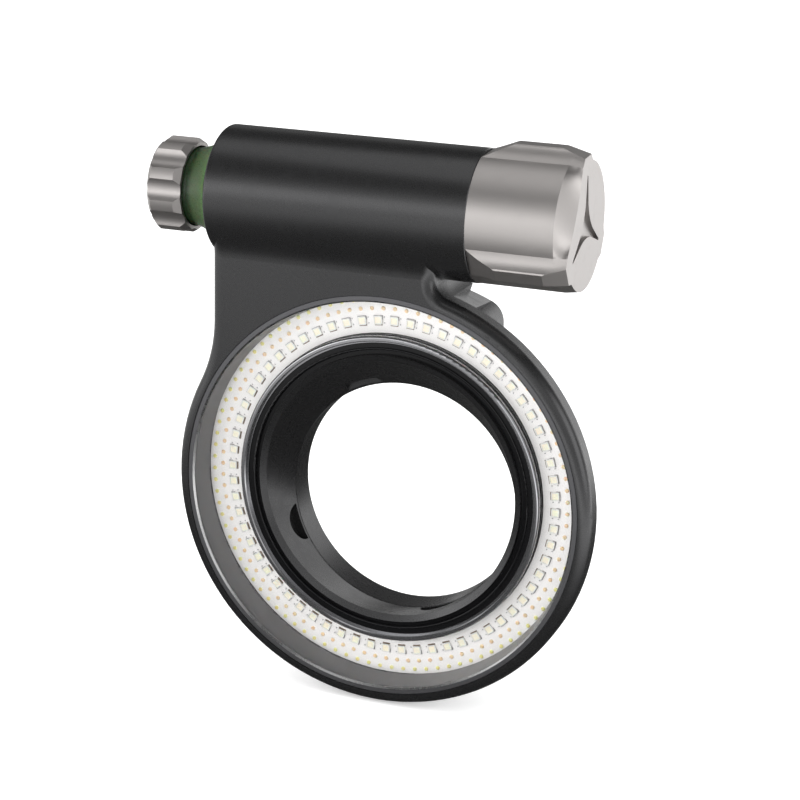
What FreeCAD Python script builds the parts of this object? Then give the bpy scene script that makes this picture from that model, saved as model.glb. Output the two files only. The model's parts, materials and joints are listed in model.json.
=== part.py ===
import FreeCAD, Part
import math
import os

# Underwater ring light: a sealed LED ring with a battery barrel above it and a lens thread behind it.
# Millimetres, +Z up, the light shines towards -Y. The origin is the centre of the lens thread's seat,
# on the lens axis. A depth is measured rearwards from the ring's front plane.

os.makedirs("parts", exist_ok=True)

# Fits, and how far a cutting shape runs past the face that it cuts
screw_fit = 0.02
running_fit = 0.05
slip_fit = 0.1
loose_fit = 0.3
over = 1.0

# Ring and lens axis
seat_depth = 26.0
bore_drop = 5.8
rim_width = 5.0
ring_depth = 17.0
back_taper = 4.5
rim_land = 0.1
rim_wall_depth = 7.0

# LED channel
channel_width = 10.8
channel_inner_land = 2.0
led_room = 1.0
window_seat_depth = 10.2
retainer_wall = 1.75
retainer_inset = 0.15
retainer_chamfer = 0.5
retainer_lean = 0.9

# Window and its seals
window_thickness = 2.0
seal_width = 1.0
seal_height = 0.75
seal_round = 0.25

# Inner bezel and the lip that it screws on
lip_step = 2.5
lip_wall = 1.7
lip_sink = 0.8
lip_bevel = 0.9
bezel_wall = 3.5
bezel_rise = 1.2
bezel_height = 4.4
bezel_flange_width = 1.5
bezel_groove_width = 1.9
bezel_ridge_width = 0.6
bezel_outer_groove_sink = 1.5
bezel_ridge_sink = 1.0
bezel_inner_groove_sink = 2.2
bezel_edge = 0.25
bezel_round = 0.75

# Light sleeve, hub and lens adapter
adapter_thickness = 5.0
scallop_count = 4
scallop_angle = 21.0
scallop_r = 5.3
scallop_bite = 2.4
scallop_floor = 0.8
hub_width = 9.5
adapter_step = 0.5
adapter_edge = 0.6
thread_wall = 1.1
thread_r = 33.5
thread_length = 3.6
thread_chamfer = 0.4

# Adapter screws
screw_count = 4
screw_angle = 45.0
screw_r = 1.5
screw_cover = 3.0
screw_head_r = 2.9
screw_head_height = 1.4
screw_sink = 0.2
screw_tip_room = 0.4
hex_across = 2.0
hex_depth = 1.1

# LED board, pad and LEDs
board_thickness = 1.6
pad_thickness = 0.4
board_margin = 0.15
spot_count = 64
spot_long = 2.5
spot_wide = 2.3
spot_height = 0.6
dot_count = 96
warm_row_margin = 4.0
flood_row_margin = 1.5
dot_r = 0.55
dot_height = 0.25

# Battery barrel
barrel_r = 17.55
barrel_depth = 12.3
barrel_gap = 0.75
barrel_left_x = -49.05
barrel_right_x = 23.9
barrel_edge_round = 0.8
barrel_seam_edge = 0.2
barrel_bore_r = 13.5
blend_r = 9.0

# Neck between the ring and the barrel
neck_depth = 22.5
neck_inset = 0.15
neck_right_x = 13.9
neck_bury = 6.9
left_blend_r = 40.0
right_blend_r = 5.0
boss_right_x = 26.5
boss_taper = 2.0
boss_corner_r = 6.0

# Wire passage
passage_r = 2.4
passage_depth = 15.5
wire_r = 0.55
wire_pitch = 1.3
wire_bend_r = 3.0
wire_count = 3
grommet_length = 4.0
grommet_drop = 1.5

# Parts stacked in the barrel, from the control end
collar_socket_r = 12.7
collar_socket_depth = 4.0
end_wall = 3.0
indicator_board_thickness = 0.8
indicator_board_r = 12.3
indicator_count = 4
indicator_r = 0.8
indicator_height = 0.6
indicator_row_r = 10.9
gland_r = 8.95
gland_flange_r = 10.3
gland_flange = 1.3
gland_flange_x = -60.2
gland_stick_out = 1.45
nut_across = 22.0
nut_thickness = 1.35
nut_corner_cut = 0.5
gland_groove_r = 7.9
gland_groove_width = 1.4
spring_pocket_r = 5.4
spring_pocket_depth = 4.0
collar_neck_r = 10.5
collar_neck_length = 1.7
collar_foot_r = 14.3
collar_hollow = 0.35
spigot_length = 2.4
spigot_groove_r = 11.8
spigot_groove_width = 1.3
control_board_x = -36.6
control_board_thickness = 1.0
circuit_gap = 0.3
encoder_side = 12.0
encoder_height = 2.3
encoder_bore_r = 3.4
switch_r = 2.4
switch_base = 0.7
dome_r = 1.5
dome_height = 0.3
driver_board_x = -31.6
driver_board_thickness = 1.6
coil_r = 3.2
coil_height = 1.8
coil_y = -4.5
coil_z = 3.0
chip_height = 0.9
chip_long = 3.8
chip_wide = 3.0
chip_y = 4.5
chip_low_z = 0.5
chip_pitch = 5.0
capacitor_height = 1.2
capacitor_long = 2.4
capacitor_wide = 2.0
capacitor_spots = ((-5.0, -3.5), (-1.5, -5.0))
controller_side = 5.0
small_chip_height = 0.7
small_chip_long = 2.0
small_chip_wide = 1.4
small_chip_spots = ((5.5, -3.0), (-6.0, 4.5))
standoff_count = 3
standoff_r = 1.4
standoff_row_r = 11.2
standoff_angle = 60.0
liner_end_x = 7.4
liner_inner_r = 10.8
liner_stop_x = -27.5
liner_stop = 1.5
liner_stop_r = 6.0
contact_base_r = 5.0
contact_base = 0.6
contact_stem_r = 3.0
cell_r = 10.6
cell_length = 69.5
nub_r = 4.5
nub_height = 0.8
cell_x = -24.7
cell_round = 0.5

# Control knob and its shaft
shaft_r = 3.0
shaft_left_x = -66.5
shaft_seal_groove_r = 2.2
shaft_seal_width = 1.1
shaft_seal_x = -52.5
shaft_seal_pitch = 3.5
clip_r = 4.6
clip_thickness = 0.5
clip_groove_r = 2.4
clip_mouth = 3.4
push_travel = 1.0
knob_left_x = -68.0
knob_right_x = -58.2
knob_r = 12.9
knob_chamfer = 1.2
knob_rim_chamfer = 0.4
knob_cavity_r = 10.9
knob_cavity_depth = 3.8
knob_lobes = 9
knob_lobe_angle = 63.0
knob_land = 3.1
knob_edge = 0.3
knob_scallop_depth = 1.4
notch_reach = 3.0
notch_length = 1.9
notch_depth = 1.2
knob_dish_r = 8.0
knob_dish = 0.5
set_screw_x = -64.2
set_screw_r = 1.5
set_screw_length = 4.0
set_screw_hex = 1.5
set_screw_socket = 1.6
spring_mean_r = 4.4
spring_wire_r = 0.35

# Battery cap
cap_right_x = 50.7
cap_shoulder_x = 47.2
cap_step = 0.15
cap_scoop_r = 10.6
cap_scoop_flute = 2
cap_end_round = 0.5
cap_lobes = 3
cap_lobe_angle = 86.0
cap_lobe_height = 2.65
cap_lobe_half = 2.1
cap_lobe_edge = 0.3
cap_foot_angle = 16.0
cap_flank_hollow = 0.35
cap_flank_lean = 1.0
lobe_lead_x = 32.1
lobe_lead_drop = 3.5
lobe_tail_x = 44.7
lobe_tail_drop = 2.0
plug_r = 14.4
plug_left_x = 9.5
plug_thread_length = 7.0
plug_bore_r = 11.2
plug_end_room = 0.5
plug_chamfer = 0.6
cap_cavity_x = 48.2
cap_seal_groove_r = 12.9
cap_seal_width = 1.5
cap_seal_x = 18.2
cap_seal_pitch = 2.6
recess_reach = 13.2
recess_tip = 0.3
recess_taper_reach = 6.5
recess_taper_half = 1.15
recess_waist = 3.3
recess_depth = 1.2
cap_plate_thickness = 0.6
cap_plate_r = 10.9
cap_spring_r = 4.5
cap_spring_wall = 0.7

# Places worked out from the sizes above
front_y = -seat_depth
ring_z = bore_drop
bore_y = 0.0
adapter_bore_r = thread_r - thread_wall
sleeve_rear_r = adapter_bore_r + slip_fit
scallop_reach = sleeve_rear_r + scallop_bite
rear_hub_r = thread_r + hub_width
adapter_r = rear_hub_r - adapter_step
screw_pitch_r = (thread_r + rear_hub_r) / 2
lip_inner_r = thread_r + lip_step
lip_outer_r = lip_inner_r + lip_wall
bezel_body_r = lip_outer_r + bezel_wall
channel_inner_r = bezel_body_r + channel_inner_land
channel_outer_r = channel_inner_r + channel_width
ring_r = channel_outer_r + rim_width
ring_back_r = ring_r - back_taper
boss_back_r = ring_r - boss_taper
window_inner_r = bezel_body_r + loose_fit
bezel_flange_r = channel_inner_r
bezel_groove_outer_r = bezel_flange_r - bezel_flange_width
bezel_ridge_outer_r = bezel_groove_outer_r - bezel_groove_width
bezel_ridge_inner_r = bezel_ridge_outer_r - bezel_ridge_width
spot_row_r = channel_inner_r + channel_width / 3
warm_row_r = channel_outer_r - warm_row_margin
flood_row_r = channel_outer_r - flood_row_margin
neck_root_r = channel_inner_r + channel_width / 4
neck_left_x = barrel_left_x + neck_inset
barrel_rise = ring_r + barrel_r + barrel_gap
neck_top = barrel_rise - neck_bury
circuit_r = barrel_bore_r - circuit_gap
cap_flute_r = barrel_r - cap_step
cap_lobe_r = barrel_r + cap_lobe_height
lobe_lead_r = cap_lobe_r - lobe_lead_drop
lobe_tail_r = cap_lobe_r - lobe_tail_drop
retainer_bore_r = channel_outer_r + retainer_wall + running_fit
rim_round = ring_r - retainer_bore_r - rim_land
sleeve_rear_depth = seat_depth - adapter_thickness
window_front_depth = window_seat_depth - window_thickness
board_front_depth = window_seat_depth + led_room
channel_floor_depth = board_front_depth + board_thickness + pad_thickness
bezel_front_depth = window_front_depth - bezel_rise
bezel_bottom_depth = bezel_front_depth + bezel_height
bezel_outer_groove_depth = bezel_front_depth + bezel_outer_groove_sink
bezel_ridge_depth = bezel_front_depth + bezel_ridge_sink
bezel_inner_groove_depth = bezel_front_depth + bezel_inner_groove_sink
lip_front_depth = bezel_front_depth + lip_sink
screw_length = seat_depth - channel_floor_depth - screw_cover
barrel_y = front_y + barrel_depth
barrel_z = ring_z + barrel_rise
socket_floor_x = barrel_left_x + collar_socket_depth
end_wall_x = socket_floor_x + end_wall
collar_left_x = gland_flange_x + gland_flange
gland_right_x = end_wall_x + gland_stick_out
clip_x = gland_right_x + running_fit
encoder_x = control_board_x - encoder_height
dome_x = control_board_x - switch_base - dome_height
shaft_right_x = dome_x - push_travel - slip_fit
driver_back_x = driver_board_x + driver_board_thickness
knob_floor_x = knob_right_x - knob_cavity_depth
cell_right_x = cell_x + cell_length
cap_plate_x = cap_cavity_x - cap_plate_thickness

Y_AXIS = FreeCAD.Vector(0, 1, 0)
X_AXIS = FreeCAD.Vector(1, 0, 0)


def vec(x, y, z):
    """A point in the part's frame."""
    return FreeCAD.Vector(x, y, z)


def ring_point(r, depth):
    """A point on the ring's half-section, above the ring's axis."""
    return vec(0, front_y + depth, ring_z + r)


def bore_point(r, y):
    """A point on the lens adapter's half-section, above the lens axis."""
    return vec(0, y, r)


def barrel_point(r, x):
    """A point on the barrel's half-section, above the barrel's axis."""
    return vec(x, barrel_y, barrel_z + r)


def wire_through(points, to_point):
    """Closed wire through (a, b) pairs; a pair marked "arc" is the middle of an arc."""
    edges = []
    spots = list(points) + [points[0]]
    start = to_point(*spots[0])
    middle = None
    for spot in spots[1:]:
        if spot[0] == "arc":
            middle = to_point(spot[1], spot[2])
            continue
        end = to_point(*spot)
        if middle is None:
            edges.append(Part.LineSegment(start, end).toShape())
        else:
            edges.append(Part.Arc(start, middle, end).toShape())
        start = end
        middle = None
    return Part.Wire(edges)


def arc_middle(centre, start, end):
    """Middle of the shorter arc from start to end about a centre, marked as an outline's arc."""
    radius = math.hypot(start[0] - centre[0], start[1] - centre[1])
    lean = math.atan2(start[1] + end[1] - 2 * centre[1], start[0] + end[0] - 2 * centre[0])
    return ("arc", centre[0] + radius * math.cos(lean), centre[1] + radius * math.sin(lean))


def turned(points, to_point, axis):
    """Solid of revolution of a half-section about an axis through the section's zero radius."""
    face = Part.Face(wire_through(points, to_point))
    return face.revolve(to_point(0, 0), axis, 360)


def about_ring(*points):
    """Turned solid about the ring's axis from (radius, depth) pairs."""
    return turned(points, ring_point, Y_AXIS)


def about_bore(*points):
    """Turned solid about the lens axis from (radius, y) pairs."""
    return turned(points, bore_point, Y_AXIS)


def about_barrel(*points):
    """Turned solid about the barrel's axis from (radius, x) pairs."""
    return turned(points, barrel_point, X_AXIS)


def barrel_tube(outer, inner, x0, x1):
    """Plain tube or, with no inner radius, a rod on the barrel's axis."""
    return about_barrel((inner, x0), (outer, x0), (outer, x1), (inner, x1))


def ring_band(outer, inner, depth0, depth1):
    """Plain ring on the ring's axis."""
    return about_ring((inner, depth0), (outer, depth0), (outer, depth1), (inner, depth1))


def barrel_polar(r, degrees, x):
    """A point around the barrel's axis; 0 degrees faces forward and 90 is up."""
    a = math.radians(degrees)
    return vec(x, barrel_y - r * math.cos(a), barrel_z + r * math.sin(a))


def ring_polar(r, degrees, depth):
    """A point around the ring's axis; 0 degrees is +X and 90 is up."""
    a = math.radians(degrees)
    return vec(r * math.cos(a), front_y + depth, ring_z + r * math.sin(a))


def seal_section(middle_r, low, to_point, axis):
    """Squeezed O-ring that fills a face groove from low, rounded at its corners."""
    half = seal_width / 2
    high = low + seal_height
    outline = [
        (middle_r - half, low + seal_round),
        (middle_r - half + seal_round, low),
        (middle_r + half - seal_round, low),
        (middle_r + half, low + seal_round),
        (middle_r + half, high - seal_round),
        (middle_r + half - seal_round, high),
        (middle_r - half + seal_round, high),
        (middle_r - half, high - seal_round),
    ]
    return turned(outline, to_point, axis)


def radial_seal(inner, outer, middle_x, width):
    """Squeezed O-ring between a groove's floor and the bore around it."""
    half = width / 2
    bevel = width / 4
    return about_barrel(
        (inner, middle_x - half + bevel),
        (inner + bevel, middle_x - half),
        (outer - bevel, middle_x - half),
        (outer, middle_x - half + bevel),
        (outer, middle_x + half - bevel),
        (outer - bevel, middle_x + half),
        (inner + bevel, middle_x + half),
        (inner, middle_x + half - bevel),
    )


def hex_prism(across, height, centre, direction):
    """Six-sided prism, as a key socket or a nut."""
    corner_r = across / 2 / math.cos(math.radians(30))
    wire = Part.makePolygon([vec(corner_r * math.cos(math.radians(60 * k + 30)),
                                 corner_r * math.sin(math.radians(60 * k + 30)), 0) for k in range(7)])
    prism = Part.Face(wire).extrude(vec(0, 0, height))
    prism.Placement = FreeCAD.Placement(centre, FreeCAD.Rotation(vec(0, 0, 1), direction))
    return prism


def single(shape):
    """The one solid of a boolean's result."""
    solids = shape.removeSplitter().Solids
    if len(solids) != 1:
        raise ValueError("expected one solid, got %d" % len(solids))
    return solids[0]


# Housing


def channel_cut():
    """What is turned out of the ring's front: retainer bore, window seat, LED channel and bezel room."""
    rim_inner_r = bezel_body_r + slip_fit
    lip_r = lip_outer_r + running_fit
    hub_step = bezel_bottom_depth + slip_fit
    return about_ring(
        (0, -over),
        (retainer_bore_r, -over),
        (retainer_bore_r, window_seat_depth),
        (channel_outer_r, window_seat_depth),
        (channel_outer_r, channel_floor_depth),
        (channel_inner_r, channel_floor_depth),
        (channel_inner_r, window_seat_depth),
        (rim_inner_r, window_seat_depth),
        (rim_inner_r, hub_step),
        (lip_outer_r, hub_step),
        (lip_outer_r, lip_front_depth),
        (lip_inner_r, lip_front_depth + lip_bevel),
        (0, lip_front_depth + lip_bevel),
    )


def seal_groove_cut(middle_r):
    """Square groove for a window seal in the window's seat."""
    half = seal_width / 2 + running_fit
    bottom = window_seat_depth + seal_height
    return ring_band(middle_r + half, middle_r - half, window_seat_depth - over, bottom)


def outer_seal_r():
    """Middle radius of the outer window seal."""
    return channel_outer_r + retainer_wall / 2


def inner_seal_r():
    """Middle radius of the inner window seal."""
    return (channel_inner_r + bezel_body_r + slip_fit) / 2


def sleeve_cut():
    """Tapering light sleeve from the lip to the rear bore, which lies lower by the bore's drop."""
    front_depth = lip_front_depth + lip_bevel
    wires = []
    for centre_z, r, depth in ((ring_z, lip_inner_r, front_depth), (0, sleeve_rear_r, sleeve_rear_depth)):
        circle = Part.Circle(vec(0, front_y + depth, centre_z), Y_AXIS, r)
        wires.append(Part.Wire([circle.toShape()]))
    return Part.makeLoft(wires, True, True)


def scallop_cuts():
    """Half-moon finger scallops in the sleeve's rear end, cut towards the outside."""
    cuts = []
    floor = front_y + sleeve_rear_depth - scallop_floor
    keep = Part.makeCylinder(scallop_reach, scallop_r, vec(0, floor - scallop_r, 0), Y_AXIS)
    for k in range(scallop_count):
        a = math.radians(scallop_angle + 360 / scallop_count * k)
        out = vec(math.cos(a), 0, math.sin(a))
        disc = Part.makeCylinder(scallop_r, scallop_reach, vec(0, floor, 0), out)
        cuts.append(disc.common(keep))
    return cuts


def ring_blank():
    """Ring with its rounded front rim and its tapered back."""
    land_r = ring_r - rim_round
    return about_ring(
        (0, 0),
        (land_r, 0),
        arc_middle((land_r, rim_round), (land_r, 0), (ring_r, rim_round)),
        (ring_r, rim_round),
        (ring_r, rim_wall_depth),
        (ring_back_r, ring_depth),
        (0, ring_depth),
    )


def flat_point(x, z):
    """A point on the ring's front plane from its x and its height above the ring's centre."""
    return vec(x, front_y, ring_z + z)


def blend_on_ring(wall_x, radius):
    """Where a blend between the ring's rim and an upright wall starts, has its middle and ends."""
    side = 1 if wall_x > 0 else -1
    centre_x = wall_x + side * radius
    centre = (centre_x, math.sqrt((ring_r + radius) ** 2 - centre_x ** 2))
    share = ring_r / (ring_r + radius)
    on_ring = (centre[0] * share, centre[1] * share)
    on_wall = (wall_x, centre[1])
    return on_ring, arc_middle(centre, on_ring, on_wall), on_wall


def neck_blank():
    """Plate and neck that carry the barrel, blended into the ring and up to the barrel's front."""
    left_ring, left_middle, left_wall = blend_on_ring(neck_left_x, left_blend_r)
    right_ring, right_middle, right_wall = blend_on_ring(neck_right_x, right_blend_r)
    share = neck_root_r / ring_r
    left_root = (left_ring[0] * share, left_ring[1] * share)
    right_root = (right_ring[0] * share, right_ring[1] * share)
    outline = [
        left_root,
        left_ring,
        left_middle,
        left_wall,
        (neck_left_x, neck_top),
        (neck_right_x, neck_top),
        right_wall,
        right_middle,
        right_ring,
        right_root,
        arc_middle((0, 0), right_root, left_root),
    ]
    block = Part.Face(wire_through(outline, flat_point)).extrude(vec(0, neck_depth, 0))
    block = block.fuse(barrel_blend(0, -1)).removeSplitter()
    return block.makeFillet(rim_round, neck_edges(block))


def neck_edges(block):
    """The neck's front edges at both sides, from the ring up to where the blend meets the barrel."""
    edges = []
    blend_foot = barrel_z - blend_drop(0)
    for edge in block.Edges:
        box = edge.BoundBox
        ends = [vertex.Point for vertex in edge.Vertexes]
        on_plane = max(abs(box.YMax - front_y), abs(box.YMin - front_y)) < over / 2
        below_blend = box.ZMax < blend_foot + over / 2
        on_blend = abs(box.YMax - front_y) < over / 2 and abs(box.ZMin - blend_foot) < over / 2
        outside = all(math.hypot(end.x, end.z - ring_z) > ring_r - over / 2 for end in ends)
        upright = box.ZMax - box.ZMin > over
        if (on_plane and below_blend or on_blend) and outside and upright:
            edges.append(edge)
    return edges


def boss_blank():
    """Thick part of the ring's rim beside the neck, with a rounded corner."""
    tapered = about_ring(
        (neck_root_r, rim_wall_depth - over),
        (ring_r, rim_wall_depth - over),
        (ring_r, rim_wall_depth),
        (boss_back_r, neck_depth),
        (neck_root_r, neck_depth),
    )
    inner_r = boss_back_r - boss_corner_r
    corner_x = boss_right_x - boss_corner_r
    corner = (corner_x, math.sqrt(inner_r ** 2 - corner_x ** 2))
    out = boss_back_r / inner_r
    far = (ring_r + boss_corner_r) / inner_r
    start = (corner[0] * out, corner[1] * out)
    end = (boss_right_x, corner[1])
    outline = [
        (0, neck_root_r / 2),
        (0, ring_r + boss_corner_r),
        (corner[0] * far, corner[1] * far),
        start,
        arc_middle(corner, start, end),
        end,
        (boss_right_x, neck_root_r / 2),
    ]
    block = Part.Face(wire_through(outline, flat_point)).extrude(vec(0, neck_depth, 0))
    return tapered.common(block)


def blend_drop(plane_depth):
    """How far below the barrel's axis a blend on a plane of the neck starts."""
    offset = abs(plane_depth - barrel_depth) + blend_r
    return math.sqrt((barrel_r + blend_r) ** 2 - offset ** 2)


def barrel_blend(plane_depth, side):
    """Concave fillet between the barrel and the neck's front (side -1) or back (side 1)."""
    offset = abs(plane_depth - barrel_depth) + blend_r
    drop = blend_drop(plane_depth)
    share = barrel_r / (barrel_r + blend_r)
    plane_y = front_y + plane_depth
    on_plane = (plane_y, barrel_z - drop)
    on_barrel = (barrel_y + side * offset * share, barrel_z - drop * share)
    centre = (plane_y + side * blend_r, barrel_z - drop)
    middle = arc_middle(centre, on_plane, on_barrel)
    buried = (on_barrel[0] - side * blend_r / 4, ring_z + neck_top)
    within = plane_y - side * over
    outline = [on_plane, middle, on_barrel, buried, (within, buried[1]), (within, on_plane[1])]
    face = Part.Face(wire_through(outline, lambda y, z: vec(neck_left_x, y, z)))
    return face.extrude(vec(neck_right_x - neck_left_x, 0, 0))


def barrel_blank():
    """Outside of the barrel."""
    land_r = barrel_r - barrel_edge_round
    round_end_x = barrel_left_x + barrel_edge_round
    return about_barrel(
        (0, barrel_left_x),
        (land_r, barrel_left_x),
        arc_middle((land_r, round_end_x), (land_r, barrel_left_x), (barrel_r, round_end_x)),
        (barrel_r, round_end_x),
        (barrel_r, barrel_right_x - barrel_seam_edge),
        (barrel_r - barrel_seam_edge, barrel_right_x),
        (0, barrel_right_x),
    )


def passage_x():
    """The wires rise along the driver board's face."""
    return driver_board_x - wire_r - running_fit


def passage_foot():
    """Height above the ring's centre where the passage meets the LED channel."""
    return math.sqrt(warm_row_r ** 2 - passage_x() ** 2)


def passage_cuts():
    """Drilled way for the wires, and the pocket where they turn to the LED board."""
    foot = passage_foot()
    length = barrel_rise - barrel_bore_r / 2 - foot
    y = front_y + passage_depth
    down = Part.makeCylinder(passage_r, length, vec(passage_x(), y, ring_z + foot), vec(0, 0, 1))
    start_y = front_y + channel_floor_depth - over
    pocket_base = vec(passage_x(), start_y, ring_z + foot)
    pocket = Part.makeCylinder(passage_r, y + passage_r - start_y, pocket_base, Y_AXIS)
    return [down, pocket]


def screw_spots():
    """Centres of the adapter screws, in x and z."""
    spots = []
    for k in range(screw_count):
        a = math.radians(screw_angle + 360 / screw_count * k)
        spots.append((screw_pitch_r * math.cos(a), screw_pitch_r * math.sin(a)))
    return spots


def make_housing():
    """Machined body: ring, neck and barrel in one piece."""
    rear_hub = Part.makeCylinder(rear_hub_r, sleeve_rear_depth - ring_depth + over,
                                 vec(0, front_y + ring_depth - over, 0), Y_AXIS)
    blank = ring_blank().fuse([neck_blank(), boss_blank(), rear_hub, barrel_blank(),
                               barrel_blend(neck_depth, 1)])
    cuts = [
        channel_cut(),
        seal_groove_cut(outer_seal_r()),
        seal_groove_cut(inner_seal_r()),
        sleeve_cut(),
        barrel_tube(plug_r + slip_fit, 0, plug_left_x - plug_end_room, barrel_right_x + over),
        barrel_tube(barrel_bore_r, 0, end_wall_x, plug_left_x),
        barrel_tube(gland_r + running_fit, 0, socket_floor_x - over, end_wall_x + over),
        barrel_tube(collar_socket_r, 0, barrel_left_x - over, socket_floor_x),
    ]
    tip_y = -screw_sink - screw_length - screw_tip_room
    for x, z in screw_spots():
        cuts.append(Part.makeCylinder(screw_r + screw_fit, -tip_y, vec(x, tip_y, z), Y_AXIS))
    return single(blank.cut(cuts + scallop_cuts() + passage_cuts()))


# Ring parts


def make_retaining_ring():
    """Threaded ring that clamps the window's outer edge, with an inner wall that leans inwards."""
    outer = retainer_bore_r - running_fit
    return about_ring(
        (channel_outer_r + retainer_chamfer, retainer_inset),
        (outer - retainer_inset, retainer_inset),
        (outer, retainer_inset * 2),
        (outer, window_front_depth),
        (channel_outer_r - retainer_lean, window_front_depth),
        (channel_outer_r, retainer_inset + retainer_chamfer),
    )


def make_window():
    """Flat glass ring over the LED channel."""
    outer = retainer_bore_r - loose_fit
    return ring_band(outer, window_inner_r, window_front_depth, window_seat_depth)


def make_inner_bezel():
    """Stepped ring screwed on the housing's lip; it clamps the window's inner edge."""
    bore = lip_outer_r + running_fit
    edge = bezel_edge
    flange_land_r = bezel_flange_r - bezel_round
    round_end = bezel_front_depth + bezel_round
    return about_ring(
        (bore, bezel_inner_groove_depth),
        (bezel_ridge_inner_r - edge, bezel_inner_groove_depth),
        (bezel_ridge_inner_r, bezel_inner_groove_depth - edge),
        (bezel_ridge_inner_r, bezel_ridge_depth + edge),
        ("arc", (bezel_ridge_inner_r + bezel_ridge_outer_r) / 2, bezel_ridge_depth),
        (bezel_ridge_outer_r, bezel_ridge_depth + edge),
        (bezel_ridge_outer_r, bezel_outer_groove_depth),
        (bezel_groove_outer_r - edge, bezel_outer_groove_depth),
        (bezel_groove_outer_r, bezel_outer_groove_depth - edge),
        (bezel_groove_outer_r, bezel_front_depth + edge),
        (bezel_groove_outer_r + edge, bezel_front_depth),
        (flange_land_r, bezel_front_depth),
        arc_middle((flange_land_r, round_end), (flange_land_r, bezel_front_depth), (bezel_flange_r, round_end)),
        (bezel_flange_r, round_end),
        (bezel_flange_r, window_front_depth),
        (bezel_body_r, window_front_depth),
        (bezel_body_r, bezel_bottom_depth),
        (bore, bezel_bottom_depth),
    )


def board_band(depth0, depth1):
    """Ring as wide as the LED channel leaves room for."""
    return ring_band(channel_outer_r - board_margin, channel_inner_r + board_margin, depth0, depth1)


def make_thermal_pad():
    """Heat-conducting pad under the LED board, with a hole for the wires."""
    pad = board_band(channel_floor_depth - pad_thickness, channel_floor_depth)
    start = vec(passage_x(), front_y + channel_floor_depth - over, ring_z + passage_foot())
    return single(pad.cut(Part.makeCylinder(passage_r + slip_fit, over * 2, start, Y_AXIS)))


def spot_leds():
    """Square lamps of the inner row, each one solid."""
    lamps = []
    bottom = board_front_depth
    for k in range(spot_count):
        box = Part.makeBox(spot_wide, spot_height, spot_long,
                           vec(-spot_wide / 2, -spot_height, -spot_long / 2))
        angle = 360 / spot_count * k
        turn = FreeCAD.Rotation(vec(0, -1, 0), angle)
        box.Placement = FreeCAD.Placement(ring_polar(spot_row_r, angle, bottom), turn)
        lamps.append(box)
    return Part.makeCompound(lamps)


def dot_leds(row_r, first):
    """Small round lamps of one row, each one solid."""
    lamps = []
    for k in range(dot_count):
        base = ring_polar(row_r, first + 360 / dot_count * k, board_front_depth)
        lamps.append(Part.makeCylinder(dot_r, dot_height, base, vec(0, -1, 0)))
    return Part.makeCompound(lamps)


def make_adapter():
    """Rear ring with the lens thread; its flange is screwed to the hub and its face is the lens port's seat."""
    flange_front = -(seat_depth - sleeve_rear_depth)
    body = about_bore(
        (adapter_bore_r, flange_front),
        (adapter_r, flange_front),
        (adapter_r, bore_y - adapter_edge),
        (adapter_r - adapter_edge, bore_y),
        (thread_r, bore_y),
        (thread_r, thread_length - thread_chamfer),
        (thread_r - thread_chamfer, thread_length),
        (adapter_bore_r, thread_length),
    )
    holes = []
    head_top = bore_y - screw_sink
    for x, z in screw_spots():
        shank_base = vec(x, flange_front - over, z)
        shank = Part.makeCylinder(screw_r + slip_fit, over - flange_front, shank_base, Y_AXIS)
        mouth = Part.makeCylinder(screw_head_r + slip_fit, screw_sink + over, vec(x, head_top, z), Y_AXIS)
        cone = Part.makeCone(screw_r + slip_fit, screw_head_r + slip_fit, screw_head_height,
                             vec(x, head_top - screw_head_height, z), Y_AXIS)
        holes += [shank, mouth, cone]
    return single(body.cut(holes))


def make_adapter_screws():
    """Countersunk screws with a key socket."""
    screws = []
    head_top = bore_y - screw_sink
    head_bottom = head_top - screw_head_height
    for x, z in screw_spots():
        cone = Part.makeCone(screw_r, screw_head_r, screw_head_height, vec(x, head_bottom, z), Y_AXIS)
        shank_length = screw_length - screw_head_height
        shank = Part.makeCylinder(screw_r, shank_length, vec(x, head_bottom - shank_length, z), Y_AXIS)
        socket = hex_prism(hex_across, hex_depth + over, vec(x, head_top - hex_depth, z), Y_AXIS)
        screws.append(single(cone.fuse(shank).cut(socket)))
    return Part.makeCompound(screws)


# Wires


def wire_routes():
    """For each wire, its start at the driver board, its turn and its end at the LED board's back."""
    routes = []
    for k in range(wire_count):
        shift = (k - (wire_count - 1) / 2) * wire_pitch
        y = front_y + passage_depth + shift
        foot_z = ring_z + passage_foot() - shift
        start = vec(passage_x(), y, ring_z + neck_top)
        corner = vec(passage_x(), y, foot_z)
        end = vec(passage_x(), front_y + board_front_depth + board_thickness, foot_z)
        routes.append((start, corner, end))
    return routes


def make_wire(start, corner, end):
    """Straight run, one bend and a straight run to the board."""
    bend = min(wire_bend_r, (corner - end).Length - wire_r / 2)
    before = corner + (start - corner).normalize() * bend
    after = corner + (end - corner).normalize() * bend
    slant = ((start - corner).normalize() + (end - corner).normalize()).normalize()
    middle = corner + slant * (bend * (1 / math.sin(math.radians(45)) - 1))
    path = Part.Wire([Part.LineSegment(start, before).toShape(),
                      Part.Arc(before, middle, after).toShape(),
                      Part.LineSegment(after, end).toShape()])
    section = Part.Wire([Part.Circle(start, vec(0, 0, 1), wire_r).toShape()])
    tube = path.makePipeShell([section], True, False)
    wanted = math.pi * wire_r ** 2 * path.Length
    print("wire bend radius %.2f, volume %.2f against %.2f" % (bend, tube.Volume, wanted))
    return tube


def make_wires():
    """The LED ring's feed wires."""
    return Part.makeCompound([Part.Solid(Part.Shell(make_wire(*route).Faces)) for route in wire_routes()])


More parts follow.
